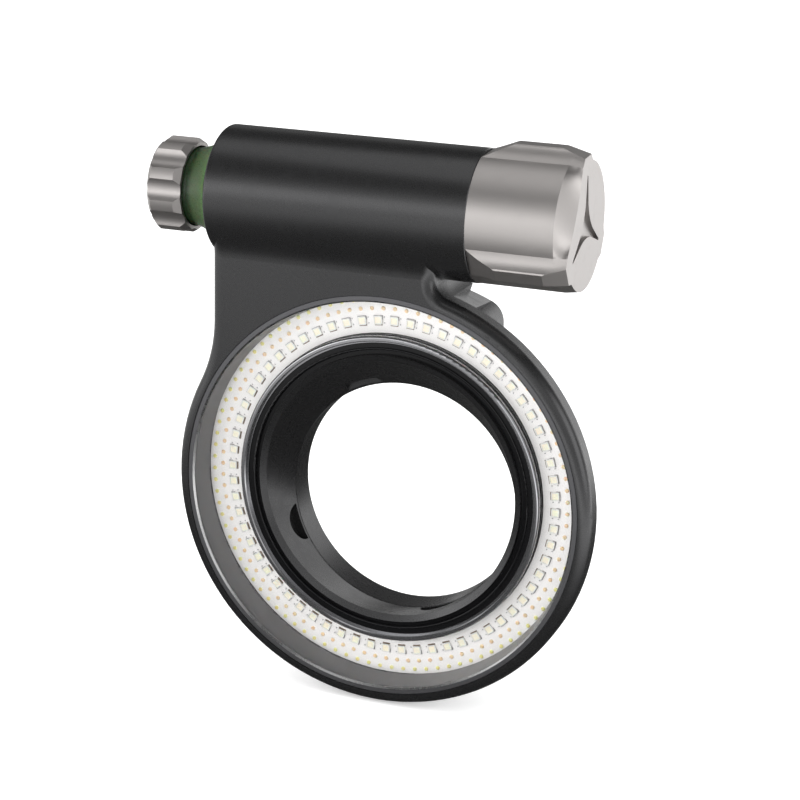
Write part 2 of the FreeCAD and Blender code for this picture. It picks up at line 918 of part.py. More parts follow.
def make_grommet():
    """Sealing plug around the wires, at the passage's upper end."""
    top = barrel_z - barrel_bore_r - grommet_drop
    y = front_y + passage_depth
    plug = Part.makeCylinder(passage_r - running_fit, grommet_length,
                             vec(passage_x(), y, top - grommet_length), vec(0, 0, 1))
    holes = []
    for start, corner, end in wire_routes():
        base = vec(start.x, start.y, top - grommet_length - over)
        holes.append(Part.makeCylinder(wire_r + screw_fit, grommet_length + over * 2, base, vec(0, 0, 1)))
    return single(plug.cut(holes))


# Parts inside the barrel


def make_liner():
    """Insulating tube round the cell, with a stop for the cell's end."""
    outer = barrel_bore_r - running_fit
    return about_barrel(
        (liner_inner_r, driver_back_x),
        (outer, driver_back_x),
        (outer, liner_end_x),
        (liner_inner_r, liner_end_x),
        (liner_inner_r, liner_stop_x + liner_stop),
        (liner_stop_r, liner_stop_x + liner_stop),
        (liner_stop_r, liner_stop_x),
        (liner_inner_r, liner_stop_x),
    )


def make_cell():
    """Rechargeable cell with its positive nub towards the driver board."""
    edge = cell_round
    return about_barrel(
        (0, cell_x - nub_height),
        (nub_r, cell_x - nub_height),
        (nub_r, cell_x),
        (cell_r - edge, cell_x),
        (cell_r, cell_x + edge),
        (cell_r, cell_right_x - edge),
        (cell_r - edge, cell_right_x),
        (0, cell_right_x),
    )


def make_positive_contact():
    """Turned contact between the driver board and the cell's nub."""
    return about_barrel(
        (0, driver_back_x),
        (contact_base_r, driver_back_x),
        (contact_base_r, driver_back_x + contact_base),
        (contact_stem_r, driver_back_x + contact_base),
        (contact_stem_r, cell_x - nub_height),
        (0, cell_x - nub_height),
    )


def chip(x, size_x, y, z, size_y, size_z):
    """Box-shaped component on a board, placed by its middle beside the barrel's axis."""
    return Part.makeBox(size_x, size_y, size_z,
                        vec(x, barrel_y + y - size_y / 2, barrel_z + z - size_z / 2))


def make_driver_components():
    """Inductor, switching chips and capacitors on the driver board's front face."""
    coil = barrel_tube(coil_r, 0, driver_board_x - coil_height, driver_board_x)
    coil.translate(vec(0, coil_y, coil_z))
    pieces = [coil]
    for z in (chip_low_z, chip_low_z + chip_pitch):
        pieces.append(chip(driver_board_x - chip_height, chip_height, chip_y, z, chip_long, chip_wide))
    for y, z in capacitor_spots:
        x = driver_board_x - capacitor_height
        pieces.append(chip(x, capacitor_height, y, z, capacitor_long, capacitor_wide))
    return Part.makeCompound(pieces)


def make_control_components():
    """Controller chip and small parts on the control board's rear face."""
    x = control_board_x + control_board_thickness
    pieces = [chip(x, chip_height, 0, 0, controller_side, controller_side)]
    for y, z in small_chip_spots:
        pieces.append(chip(x, small_chip_height, y, z, small_chip_long, small_chip_wide))
    return Part.makeCompound(pieces)


def make_standoffs():
    """Spacers between the two circuit boards."""
    x0 = control_board_x + control_board_thickness
    posts = []
    for k in range(standoff_count):
        base = barrel_polar(standoff_row_r, standoff_angle + 360 / standoff_count * k, x0)
        posts.append(Part.makeCylinder(standoff_r, driver_board_x - x0, base, X_AXIS))
    return Part.makeCompound(posts)


def make_encoder():
    """Hollow rotary encoder around the shaft's end."""
    half = encoder_side / 2
    block = Part.makeBox(encoder_height, encoder_side, encoder_side,
                         vec(encoder_x, barrel_y - half, barrel_z - half))
    return single(block.cut(barrel_tube(encoder_bore_r, 0, encoder_x - over, control_board_x + over)))


def make_push_switch():
    """Dome switch that the shaft's end presses."""
    return about_barrel(
        (0, dome_x),
        (dome_r, dome_x),
        (dome_r, dome_x + dome_height),
        (switch_r, dome_x + dome_height),
        (switch_r, control_board_x),
        (0, control_board_x),
    )


def gland_seal_spots():
    """Middles of the gland's two seals: in the collar's bore and in the barrel's end wall."""
    return [(collar_left_x + barrel_left_x) / 2, (socket_floor_x + end_wall_x) / 2]


def make_gland():
    """Threaded bush that carries the shaft and clamps the collar."""
    bore = shaft_r + running_fit
    body = about_barrel(
        (bore, gland_flange_x + spring_pocket_depth),
        (spring_pocket_r, gland_flange_x + spring_pocket_depth),
        (spring_pocket_r, gland_flange_x),
        (gland_flange_r, gland_flange_x),
        (gland_flange_r, collar_left_x),
        (gland_r, collar_left_x),
        (gland_r, gland_right_x),
        (bore, gland_right_x),
    )
    half = gland_groove_width / 2 + screw_fit
    grooves = [barrel_tube(gland_r + over, gland_groove_r, x - half, x + half) for x in gland_seal_spots()]
    return single(body.cut(grooves))


def make_gland_seals():
    """O-rings on the gland."""
    spots = gland_seal_spots()
    return Part.makeCompound([radial_seal(gland_groove_r, gland_r + running_fit, x, gland_groove_width)
                              for x in spots])


def make_gland_nut():
    """Locknut inside the barrel's end wall."""
    nut = hex_prism(nut_across, nut_thickness, vec(end_wall_x, barrel_y, barrel_z), X_AXIS)
    corner_r = nut_across / 2 / math.cos(math.radians(30))
    round_off = barrel_tube(corner_r - nut_corner_cut, 0, end_wall_x - over, end_wall_x + nut_thickness + over)
    bore = barrel_tube(gland_r + screw_fit, 0, end_wall_x - over, end_wall_x + nut_thickness + over)
    return single(nut.common(round_off).cut(bore))


def make_collar():
    """Translucent ring that shows the battery's state, waisted towards the knob."""
    bore = gland_r + running_fit
    neck_x = collar_left_x + collar_neck_length
    spigot_r = collar_socket_r - slip_fit
    spigot_x = barrel_left_x + spigot_length
    half = spigot_groove_width / 2
    groove_x = barrel_left_x + spigot_length / 2
    return about_barrel(
        (bore, collar_left_x),
        (collar_neck_r, collar_left_x),
        (collar_neck_r, neck_x),
        ("arc", (collar_neck_r + collar_foot_r) / 2 - collar_hollow,
         (neck_x + barrel_left_x) / 2 + collar_hollow),
        (collar_foot_r, barrel_left_x),
        (spigot_r, barrel_left_x),
        (spigot_r, groove_x - half),
        (spigot_groove_r, groove_x - half),
        (spigot_groove_r, groove_x + half),
        (spigot_r, groove_x + half),
        (spigot_r, spigot_x),
        (bore, spigot_x),
    )


def make_collar_seal():
    """O-ring on the collar's spigot."""
    x = barrel_left_x + spigot_length / 2
    return radial_seal(spigot_groove_r, collar_socket_r, x, spigot_groove_width - screw_fit)


def make_indicator_board():
    """Ring board behind the collar."""
    start = socket_floor_x - indicator_board_thickness
    return barrel_tube(indicator_board_r, gland_r + slip_fit, start, socket_floor_x)


def make_indicator_leds():
    """Small lamps that light the collar."""
    lamps = []
    top = socket_floor_x - indicator_board_thickness
    for k in range(indicator_count):
        base = barrel_polar(indicator_row_r, 360 / indicator_count * k, top)
        lamps.append(Part.makeCylinder(indicator_r, indicator_height, base, vec(-1, 0, 0)))
    return Part.makeCompound(lamps)


# Knob and shaft


def shaft_seal_spots():
    """Middles of the shaft's two seals."""
    return [shaft_seal_x, shaft_seal_x + shaft_seal_pitch]


def make_shaft():
    """Shaft of the knob, grooved for its seals and its clip."""
    rod = barrel_tube(shaft_r, 0, shaft_left_x, shaft_right_x)
    half = shaft_seal_width / 2 + screw_fit
    grooves = [barrel_tube(shaft_r + over, shaft_seal_groove_r, x - half, x + half) for x in shaft_seal_spots()]
    clip_end_x = clip_x + clip_thickness + screw_fit
    grooves.append(barrel_tube(shaft_r + over, clip_groove_r, clip_x - screw_fit, clip_end_x))
    return single(rod.cut(grooves))


def make_shaft_seals():
    """O-rings on the shaft."""
    outer = shaft_r + running_fit - screw_fit
    return Part.makeCompound([radial_seal(shaft_seal_groove_r, outer, x, shaft_seal_width)
                              for x in shaft_seal_spots()])


def make_shaft_clip():
    """Retaining clip with its open mouth downwards."""
    ring = barrel_tube(clip_r, clip_groove_r + screw_fit, clip_x, clip_x + clip_thickness)
    mouth = Part.makeBox(clip_thickness + over * 2, clip_mouth, clip_r + over,
                         vec(clip_x - over, barrel_y - clip_mouth / 2, barrel_z - clip_r - over))
    return single(ring.cut(mouth))


def make_knob_spring():
    """Return spring under the knob, between its floor and the gland's pocket."""
    start = knob_floor_x
    end = gland_flange_x + spring_pocket_depth
    return barrel_tube(spring_mean_r + spring_wire_r, spring_mean_r - spring_wire_r, start, end)


def around_barrel(shape, degrees):
    """Copy of a shape modelled above the barrel's axis, turned to an angle where 90 is up."""
    copy = shape.copy()
    copy.rotate(vec(0, barrel_y, barrel_z), X_AXIS, 90 - degrees)
    return copy


def knob_outline():
    """Knob across its axis: lands on the lobes, joined by shallow scallops with bevelled edges."""
    edges = []
    period = 360 / knob_lobes
    land_half = math.degrees(knob_land / 2 / knob_r)
    edge_r = knob_r - knob_edge
    edge_half = land_half + math.degrees(knob_edge / edge_r)
    for k in range(knob_lobes):
        lobe = knob_lobe_angle + period * k
        spots = [barrel_polar(knob_r, lobe + turn, knob_left_x) for turn in (-land_half, 0, land_half)]
        scallop = [
            barrel_polar(edge_r, lobe + edge_half, knob_left_x),
            barrel_polar(knob_r - knob_scallop_depth, lobe + period / 2, knob_left_x),
            barrel_polar(edge_r, lobe + period - edge_half, knob_left_x),
        ]
        next_land = barrel_polar(knob_r, lobe + period - land_half, knob_left_x)
        edges.append(Part.Arc(*spots).toShape())
        edges.append(Part.LineSegment(spots[2], scallop[0]).toShape())
        edges.append(Part.Arc(*scallop).toShape())
        edges.append(Part.LineSegment(scallop[2], next_land).toShape())
    return Part.Wire(edges)


def notch_cuts():
    """Sloping facet across the end of each lobe, towards the barrel."""
    start_x = knob_right_x - notch_length
    slope = notch_depth / notch_length
    outline = [
        (knob_r + over, start_x - over),
        (knob_r + over * slope, start_x - over),
        (knob_r - notch_depth - over * slope, knob_right_x + over),
        (knob_r + over, knob_right_x + over),
    ]
    notch = Part.Face(wire_through(outline, barrel_point)).extrude(vec(0, notch_reach * 2, 0))
    notch.translate(vec(0, -notch_reach, 0))
    return [around_barrel(notch, knob_lobe_angle + 360 / knob_lobes * k) for k in range(knob_lobes)]


def set_screw_angle():
    """The set screw sits in the scallop at the back of the knob."""
    return knob_lobe_angle + 360 / knob_lobes * (knob_lobes // 3 + 0.5)


def make_knob():
    """Lobed knob, hollow towards the gland."""
    bore = shaft_r + screw_fit
    body = about_barrel(
        (0, knob_left_x + knob_dish),
        (knob_dish_r - knob_dish, knob_left_x + knob_dish),
        (knob_dish_r, knob_left_x),
        (knob_r - knob_chamfer, knob_left_x),
        (knob_r + over, knob_left_x + knob_chamfer + over),
        (knob_r + over, knob_right_x - knob_rim_chamfer - over),
        (knob_r - knob_rim_chamfer, knob_right_x),
        (knob_cavity_r, knob_right_x),
        (knob_cavity_r, knob_floor_x),
        (bore, knob_floor_x),
        (bore, shaft_left_x - running_fit),
        (0, shaft_left_x - running_fit),
    )
    hole_base = barrel_point(shaft_r / 2, set_screw_x)
    hole = Part.makeCylinder(set_screw_r + screw_fit, knob_r, hole_base, vec(0, 0, 1))
    grip = Part.Face(knob_outline()).extrude(vec(knob_right_x - knob_left_x, 0, 0))
    return single(body.common(grip).cut(notch_cuts() + [around_barrel(hole, set_screw_angle())]))


def make_set_screw():
    """Headless screw that grips the shaft."""
    base = barrel_point(shaft_r + running_fit, set_screw_x)
    screw = Part.makeCylinder(set_screw_r, set_screw_length, base, vec(0, 0, 1))
    socket_base = base + vec(0, 0, set_screw_length - set_screw_socket)
    socket = hex_prism(set_screw_hex, set_screw_socket + over, socket_base, vec(0, 0, 1))
    return around_barrel(single(screw.cut(socket)), set_screw_angle())


# Battery cap


def cap_outline(x, trim, scoop_r):
    """Closed outline of the cap across its axis: flat-topped lobes joined by hollow flanks and flutes."""
    edges = []
    step = 360 / cap_lobes
    foot_r = cap_flute_r - trim
    land_tilt = math.degrees(math.atan2(cap_lobe_half - cap_lobe_edge, cap_lobe_r))
    land_r = math.hypot(cap_lobe_half - cap_lobe_edge, cap_lobe_r)
    edge_tilt = math.degrees(math.atan2(cap_lobe_half, cap_lobe_r - cap_lobe_edge))
    edge_r = math.hypot(cap_lobe_half, cap_lobe_r - cap_lobe_edge)
    flank_r = (foot_r + edge_r) / 2 - cap_flank_hollow
    flank_tilt = (cap_foot_angle + edge_tilt) / 2 - cap_flank_lean
    for k in range(cap_lobes):
        lobe = cap_lobe_angle + step * k
        spots = {}
        for side in (-1, 1):
            spots[side, "foot"] = barrel_polar(foot_r, lobe + side * cap_foot_angle, x)
            spots[side, "flank"] = barrel_polar(flank_r, lobe + side * flank_tilt, x)
            spots[side, "edge"] = barrel_polar(edge_r, lobe + side * edge_tilt, x)
            spots[side, "land"] = barrel_polar(land_r, lobe + side * land_tilt, x)
        edges.append(Part.Arc(spots[-1, "foot"], spots[-1, "flank"], spots[-1, "edge"]).toShape())
        edges.append(Part.LineSegment(spots[-1, "edge"], spots[-1, "land"]).toShape())
        edges.append(Part.LineSegment(spots[-1, "land"], spots[1, "land"]).toShape())
        edges.append(Part.LineSegment(spots[1, "land"], spots[1, "edge"]).toShape())
        edges.append(Part.Arc(spots[1, "edge"], spots[1, "flank"], spots[1, "foot"]).toShape())
        middle_r = scoop_r if k == cap_scoop_flute else foot_r
        flute_middle = barrel_polar(middle_r, lobe + step / 2, x)
        next_foot = barrel_polar(foot_r, lobe + step - cap_foot_angle, x)
        edges.append(Part.Arc(spots[1, "foot"], flute_middle, next_foot).toShape())
    return Part.Wire(edges)


def lobe_facets():
    """Sloping cuts at both ends of each lobe."""
    above = cap_lobe_r + over
    lead = [(lobe_lead_r, barrel_right_x), (above, barrel_right_x), (above, lobe_lead_x),
            (cap_lobe_r, lobe_lead_x)]
    tail = [(cap_lobe_r, lobe_tail_x), (above, lobe_tail_x), (above, cap_right_x), (lobe_tail_r, cap_right_x)]
    cuts = []
    for outline in (lead, tail):
        block = Part.Face(wire_through(outline, barrel_point)).extrude(vec(0, barrel_r * 2, 0))
        block.translate(vec(0, -barrel_r, 0))
        for k in range(cap_lobes):
            cuts.append(around_barrel(block, cap_lobe_angle + 360 / cap_lobes * k))
    return cuts


def recess_cut():
    """Three-pointed grip recess in the cap's end face, hollow-sided, with a point towards each lobe."""
    base_x = cap_right_x - recess_depth
    tip_tilt = math.degrees(math.atan2(recess_tip, recess_reach))
    taper_tilt = math.degrees(math.atan2(recess_taper_half, recess_taper_reach))
    edges = []
    step = 360 / cap_lobes
    for k in range(cap_lobes):
        lobe = cap_lobe_angle + step * k
        tip_before = barrel_polar(recess_reach, lobe - tip_tilt, base_x)
        tip_after = barrel_polar(recess_reach, lobe + tip_tilt, base_x)
        taper_before = barrel_polar(recess_taper_reach, lobe - taper_tilt, base_x)
        taper_after = barrel_polar(recess_taper_reach, lobe + taper_tilt, base_x)
        waist = barrel_polar(recess_waist, lobe + step / 2, base_x)
        next_taper = barrel_polar(recess_taper_reach, lobe + step - taper_tilt, base_x)
        edges.append(Part.LineSegment(taper_before, tip_before).toShape())
        edges.append(Part.LineSegment(tip_before, tip_after).toShape())
        edges.append(Part.LineSegment(tip_after, taper_after).toShape())
        edges.append(Part.Arc(taper_after, waist, next_taper).toShape())
    return Part.Face(Part.Wire(edges)).extrude(vec(recess_depth + over, 0, 0))


def cap_seal_spots():
    """Middles of the cap's two seals."""
    return [cap_seal_x, cap_seal_x + cap_seal_pitch]


def make_cap():
    """Screw cap with a threaded plug, three grip lobes and a scoop at the front of its end."""
    shoulder = cap_outline(cap_shoulder_x, 0, cap_flute_r)
    seam = cap_outline(barrel_right_x, 0, cap_flute_r)
    grip = Part.Face(seam).extrude(vec(cap_shoulder_x - barrel_right_x, 0, 0))
    end = Part.makeLoft([shoulder, cap_outline(cap_right_x, cap_end_round, cap_scoop_r)], True, True)
    thread_end_x = plug_left_x + plug_thread_length
    neck_r = plug_r - slip_fit * 2
    plug = about_barrel(
        (plug_bore_r, plug_left_x),
        (plug_r - plug_chamfer, plug_left_x),
        (plug_r, plug_left_x + plug_chamfer),
        (plug_r, thread_end_x),
        (neck_r, thread_end_x + plug_chamfer / 2),
        (plug_r, thread_end_x + plug_chamfer),
        (plug_r, barrel_right_x + over),
        (plug_bore_r, barrel_right_x + over),
    )
    cuts = lobe_facets() + [recess_cut()]
    cuts.append(barrel_tube(plug_bore_r, 0, plug_left_x - over, cap_cavity_x))
    half = cap_seal_width / 2 + screw_fit
    cuts += [barrel_tube(plug_r + over, cap_seal_groove_r, x - half, x + half) for x in cap_seal_spots()]
    return single(grip.fuse([end, plug]).cut(cuts))


def make_cap_seals():
    """O-rings on the cap's plug."""
    outer = plug_r + slip_fit - screw_fit
    return Part.makeCompound([radial_seal(cap_seal_groove_r, outer, x, cap_seal_width)
                              for x in cap_seal_spots()])


def make_cap_spring():
    """Negative contact spring between the cell and the contact plate, pressed nearly flat."""
    return barrel_tube(cap_spring_r, cap_spring_r - cap_spring_wall, cell_right_x, cap_plate_x)


nodes = {
    "housing": make_housing(),
    "retaining_ring": make_retaining_ring(),
    "ring_window": make_window(),
    "window_seal_outer": seal_section(outer_seal_r(), window_seat_depth, ring_point, Y_AXIS),
    "window_seal_inner": seal_section(inner_seal_r(), window_seat_depth, ring_point, Y_AXIS),
    "inner_bezel": make_inner_bezel(),
    "led_board": board_band(board_front_depth, board_front_depth + board_thickness),
    "thermal_pad": make_thermal_pad(),
    "leds_spot": spot_leds(),
    "leds_warm": dot_leds(warm_row_r, 0),
    "leds_flood": dot_leds(flood_row_r, 180 / dot_count),
    "lens_adapter": make_adapter(),
    "adapter_screws": make_adapter_screws(),
    "feed_wires": make_wires(),
    "wire_grommet": make_grommet(),
    "battery_liner": make_liner(),
    "battery_cell": make_cell(),
    "positive_contact": make_positive_contact(),
    "driver_board": barrel_tube(circuit_r, 0, driver_board_x, driver_back_x),
    "driver_components": make_driver_components(),
    "control_board": barrel_tube(circuit_r, 0, control_board_x, control_board_x + control_board_thickness),
    "control_components": make_control_components(),
    "board_standoffs": make_standoffs(),
    "rotary_encoder": make_encoder(),
    "push_switch": make_push_switch(),
    "control_gland": make_gland(),
    "gland_nut": make_gland_nut(),
    "gland_seals": make_gland_seals(),
    "indicator_collar": make_collar(),
    "collar_seal": make_collar_seal(),
    "indicator_board": make_indicator_board(),
    "indicator_leds": make_indicator_leds(),
    "control_shaft": make_shaft(),
    "shaft_seals": make_shaft_seals(),
    "shaft_clip": make_shaft_clip(),
    "knob_spring": make_knob_spring(),
    "control_knob": make_knob(),
    "knob_set_screw": make_set_screw(),
    "battery_cap": make_cap(),
    "cap_seals": make_cap_seals(),
    "cap_contact_plate": barrel_tube(cap_plate_r, 0, cap_plate_x, cap_cavity_x),
    "cap_contact_spring": make_cap_spring(),
}

for name, shape in nodes.items():
    if not shape.isValid():
        print("not valid:", name)
    shape.exportStep("parts/%s.step" % name)
    box = shape.BoundBox
    print("%-20s solids %3d volume %9.1f  x %.1f..%.1f y %.1f..%.1f z %.1f..%.1f" % (
        name, len(shape.Solids), shape.Volume, box.XMin, box.XMax, box.YMin, box.YMax, box.ZMin, box.ZMax))
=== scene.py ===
"""Visual model of an underwater ring light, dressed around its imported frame.

Everything is in metres in the frame's own axes: the origin is the centre of the lens thread's seat,
+Y points rearwards along the lens axis, +X towards the battery cap and +Z up towards the barrel.
"""

import json
import logging
import math
from collections.abc import Callable, Iterator
from contextlib import contextmanager
from dataclasses import dataclass, field
from enum import Enum

import bpy
from bpy.types import Material, MeshPolygon, Node, NodeOutputs, NodeSocket, NodeTree, Object
from mathutils import Matrix, Vector


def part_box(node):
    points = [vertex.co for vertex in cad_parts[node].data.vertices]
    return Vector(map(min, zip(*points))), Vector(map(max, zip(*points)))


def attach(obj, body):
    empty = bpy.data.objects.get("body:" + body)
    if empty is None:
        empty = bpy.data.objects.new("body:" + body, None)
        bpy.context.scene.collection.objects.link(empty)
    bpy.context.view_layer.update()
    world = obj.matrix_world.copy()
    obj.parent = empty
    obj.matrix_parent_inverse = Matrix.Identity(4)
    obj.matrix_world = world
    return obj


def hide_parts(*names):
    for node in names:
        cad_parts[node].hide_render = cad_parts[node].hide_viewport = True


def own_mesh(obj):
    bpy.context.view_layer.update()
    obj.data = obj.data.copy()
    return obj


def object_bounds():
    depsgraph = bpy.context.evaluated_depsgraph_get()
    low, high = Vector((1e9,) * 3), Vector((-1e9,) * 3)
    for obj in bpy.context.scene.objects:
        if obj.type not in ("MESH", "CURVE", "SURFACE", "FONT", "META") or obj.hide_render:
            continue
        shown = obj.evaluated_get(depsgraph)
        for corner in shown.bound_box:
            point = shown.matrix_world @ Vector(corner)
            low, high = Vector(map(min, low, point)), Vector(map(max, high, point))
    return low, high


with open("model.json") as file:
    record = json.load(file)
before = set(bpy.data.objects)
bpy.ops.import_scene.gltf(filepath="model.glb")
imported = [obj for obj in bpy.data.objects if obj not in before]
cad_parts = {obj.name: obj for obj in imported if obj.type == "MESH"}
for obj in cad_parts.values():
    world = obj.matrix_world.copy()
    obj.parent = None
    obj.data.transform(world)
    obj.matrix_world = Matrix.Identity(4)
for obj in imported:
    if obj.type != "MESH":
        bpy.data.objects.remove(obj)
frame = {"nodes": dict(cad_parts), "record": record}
CAD_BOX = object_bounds()

LOG = logging.getLogger("ring_light")
MM = 0.001
QUARTER = math.pi / 2
# Least Z of the normal of a face that looks up
UPWARDS = 0.9
# Middle of a noise texture's values, and the values between which handling marks fade in
NOISE_MIDDLE = 0.5
RUBBED = (0.45, 0.75)
# How much of a finish's speckle is in its roughness
SPECKLE_ROUGHNESS = 0.5
RING_CENTRE = (0.0, -26.0 * MM, 5.8 * MM)
BARREL_AXIS = (0.0, -13.7 * MM, 83.1 * MM)
BOARD_DEPTH = 11.2 * MM
Triple = tuple[float, float, float]


# Finishes


class Surface(Enum):
    """How the fine relief of a finish runs over its surface."""

    BLASTED = "blasted"
    TURNED = "turned"
    POLISHED = "polished"


def new_group(name: str, inputs: dict[str, object], outputs: tuple[str, ...]) -> tuple[NodeTree, Node, Node]:
    """Start a shader node group.

    Args:
        name: The group's name.
        inputs: Each input's default: None for a vector, a colour or a number.
        outputs: The outputs' names; Colour is a colour and the others are numbers.

    Returns:
        The group, its entry and its exit.
    """
    group = bpy.data.node_groups.new(name, "ShaderNodeTree")
    for label, value in inputs.items():
        kind = "Vector" if value is None else "Color" if isinstance(value, tuple) else "Float"
        made = group.interface.new_socket(name=label, in_out="INPUT", socket_type="NodeSocket" + kind)
        if value is not None:
            made.default_value = value
    for label in outputs:
        kind = "Color" if label == "Colour" else "Float"
        group.interface.new_socket(name=label, in_out="OUTPUT", socket_type="NodeSocket" + kind)
    return group, node(group, "NodeGroupInput"), node(group, "NodeGroupOutput")


def node(tree: NodeTree, kind: str, values: dict | None = None, **settings: object) -> Node:
    """Add a node, set its properties and feed its inputs.

    Args:
        tree: The node tree that gets the node.
        kind: The node's type name.
        values: A socket or a plain value for each input, by name or index; None leaves it.
        **settings: Properties of the node itself.

    Returns:
        The new node.
    """
    made = tree.nodes.new(kind)
    for name, value in settings.items():
        setattr(made, name, value)
    feed(made, values or {})
    return made


def feed(made: Node, values: dict) -> None:
    """Link or set inputs of a node.

    Args:
        made: The node.
        values: A socket or a plain value for each input, by name or index; None leaves it.
    """
    for name, value in values.items():
        if isinstance(value, NodeSocket):
            made.id_data.links.new(value, made.inputs[name])
        elif value is not None:
            made.inputs[name].default_value = value


def math_node(tree: NodeTree, operation: str, first: object, second: object = None,
              third: object = None) -> NodeSocket:
    """Calculate with sockets or plain numbers in a Math node, and return its result."""
    return node(tree, "ShaderNodeMath", {0: first, 1: second, 2: third}, operation=operation).outputs[0]


def vector_math(tree: NodeTree, operation: str, first: object, second: object = None) -> Node:
    """Calculate with sockets or plain vectors in a Vector Math node, and return the node."""
    return node(tree, "ShaderNodeVectorMath", {0: first, 1: second}, operation=operation)


def scaled(tree: NodeTree, vector: NodeSocket, scale: NodeSocket) -> NodeSocket:
    """Scale a vector or colour."""
    return node(tree, "ShaderNodeVectorMath", {0: vector, "Scale": scale}, operation="SCALE").outputs[0]


def ranged(tree: NodeTree, value: NodeSocket, low: float, high: float,
           to_low: float = 0.0, to_high: float = 1.0) -> NodeSocket:
    """Map a value smoothly from one range to another.

    Args:
        tree: The node tree.
        value: The socket to map.
        low: Start of the range that comes in.
        high: End of the range that comes in.
        to_low: What the start becomes.
        to_high: What the end becomes.

    Returns:
        The mapped value's socket.
    """
    limits = {"Value": value, "From Min": low, "From Max": high, "To Min": to_low, "To Max": to_high}
    return node(tree, "ShaderNodeMapRange", limits, interpolation_type="SMOOTHSTEP").outputs["Result"]


def mixed(tree: NodeTree, share: object, first: object, second: object,
          blend: str = "MIX") -> NodeSocket:
    """Mix two colours, each a socket or a colour.

    Args:
        tree: The node tree.
        share: How much of the second colour, a socket or a number.
        first: The first colour.
        second: The second colour.
        blend: The Mix node's blend type.

    Returns:
        The mixed colour's socket.
    """
    made = node(tree, "ShaderNodeMix", data_type="RGBA", blend_type=blend)
    for name, value in (("Factor_Float", share), ("A_Color", first), ("B_Color", second)):
        index = next(i for i, socket in enumerate(made.inputs) if socket.identifier == name)
        feed(made, {index: (*value, 1.0) if isinstance(value, tuple) else value})
    return next(socket for socket in made.outputs if socket.identifier == "Result_Color")


def split_up(tree: NodeTree, place: NodeSocket) -> list[NodeSocket]:
    """Split coordinates into X, Y and Z."""
    return list(node(tree, "ShaderNodeSeparateXYZ", {0: place}).outputs)


def length_of(tree: NodeTree, first: NodeSocket, second: NodeSocket) -> NodeSocket:
    """Measure the distance from an axis by the two coordinates across it."""
    squares = [math_node(tree, "MULTIPLY", side, side) for side in (first, second)]
    return math_node(tree, "SQRT", math_node(tree, "ADD", *squares))


def dot_with(tree: NodeTree, place: NodeSocket, towards: Triple) -> NodeSocket:
    """Measure how far a place or direction goes towards another one."""
    return vector_math(tree, "DOT_PRODUCT", place, towards).outputs["Value"]


def mix_to_output(tree: NodeTree, share: NodeSocket, first: Node, second: Node) -> None:
    """Mix two shaders into a material's output.

    Args:
        tree: The material's node tree.
        share: How much of the second shader.
        first: The first shader.
        second: The second shader.
    """
    join = node(tree, "ShaderNodeMixShader", {0: share, 1: first.outputs[0], 2: second.outputs[0]})
    output = next(n for n in tree.nodes if n.type == "OUTPUT_MATERIAL")
    feed(output, {"Surface": join.outputs[0]})


def micro_surface_group() -> NodeTree:
    """Build the group that every solid finish shares: cloudy shade, speckle, grain and handling marks.

    Returns:
        The node group, with colour, roughness and height outputs.
    """
    group, entry, leave = new_group("micro_surface", {
        "Vector": None, "Colour": (0.5, 0.5, 0.5, 1.0), "Roughness": 0.4, "Shade Spread": 0.1,
        "Roughness Spread": 0.05, "Grain Scale": 3000.0, "Speckle": 0.05}, ("Colour", "Roughness", "Height"))
    given = entry.outputs
    cloud, grain, marks = (
        node(group, "ShaderNodeTexNoise", {"Vector": given["Vector"], **values}).outputs["Fac"]
        for values in ({"Scale": 55.0, "Detail": 4.0, "Roughness": 0.55},
                       {"Scale": given["Grain Scale"], "Detail": 2.0, "Roughness": 0.6},
                       {"Scale": 210.0, "Detail": 6.0, "Roughness": 0.7, "Distortion": 0.6}))
    clouding, graining = (math_node(group, "SUBTRACT", noise, NOISE_MIDDLE) for noise in (cloud, grain))
    shade = math_node(group, "MULTIPLY", clouding, given["Shade Spread"])
    speckle = math_node(group, "MULTIPLY", graining, given["Speckle"])
    level = math_node(group, "ADD", math_node(group, "ADD", shade, speckle), 1.0)
    spread = math_node(group, "MULTIPLY", ranged(group, marks, *RUBBED), given["Roughness Spread"])
    rough = math_node(group, "ADD", given["Roughness"], spread)
    rough = math_node(group, "MULTIPLY_ADD", speckle, SPECKLE_ROUGHNESS, rough)
    feed(leave, {"Colour": scaled(group, given["Colour"], level), "Roughness": rough, "Height": grain})
    return group


def turned_lines_group() -> NodeTree:
    """Build the group of fine lathe lines around an axis that runs through the mapped origin.

    Returns:
        The node group, whose height runs in rings along Z and with the radius.
    """
    group, entry, leave = new_group("turned_lines", {"Vector": None, "Pitch": 0.0002}, ("Height",))
    x, y, z = split_up(group, entry.outputs["Vector"])
    along = math_node(group, "ADD", z, length_of(group, x, y))
    along = math_node(group, "DIVIDE", along, entry.outputs["Pitch"])
    lines = node(group, "ShaderNodeTexNoise", {"W": along, "Scale": 1.0, "Detail": 3.0, "Roughness": 0.7},
                 noise_dimensions="1D")
    feed(leave, {"Height": lines.outputs["Fac"]})
    return group


GROUPS = {"micro": micro_surface_group(), "turned": turned_lines_group()}


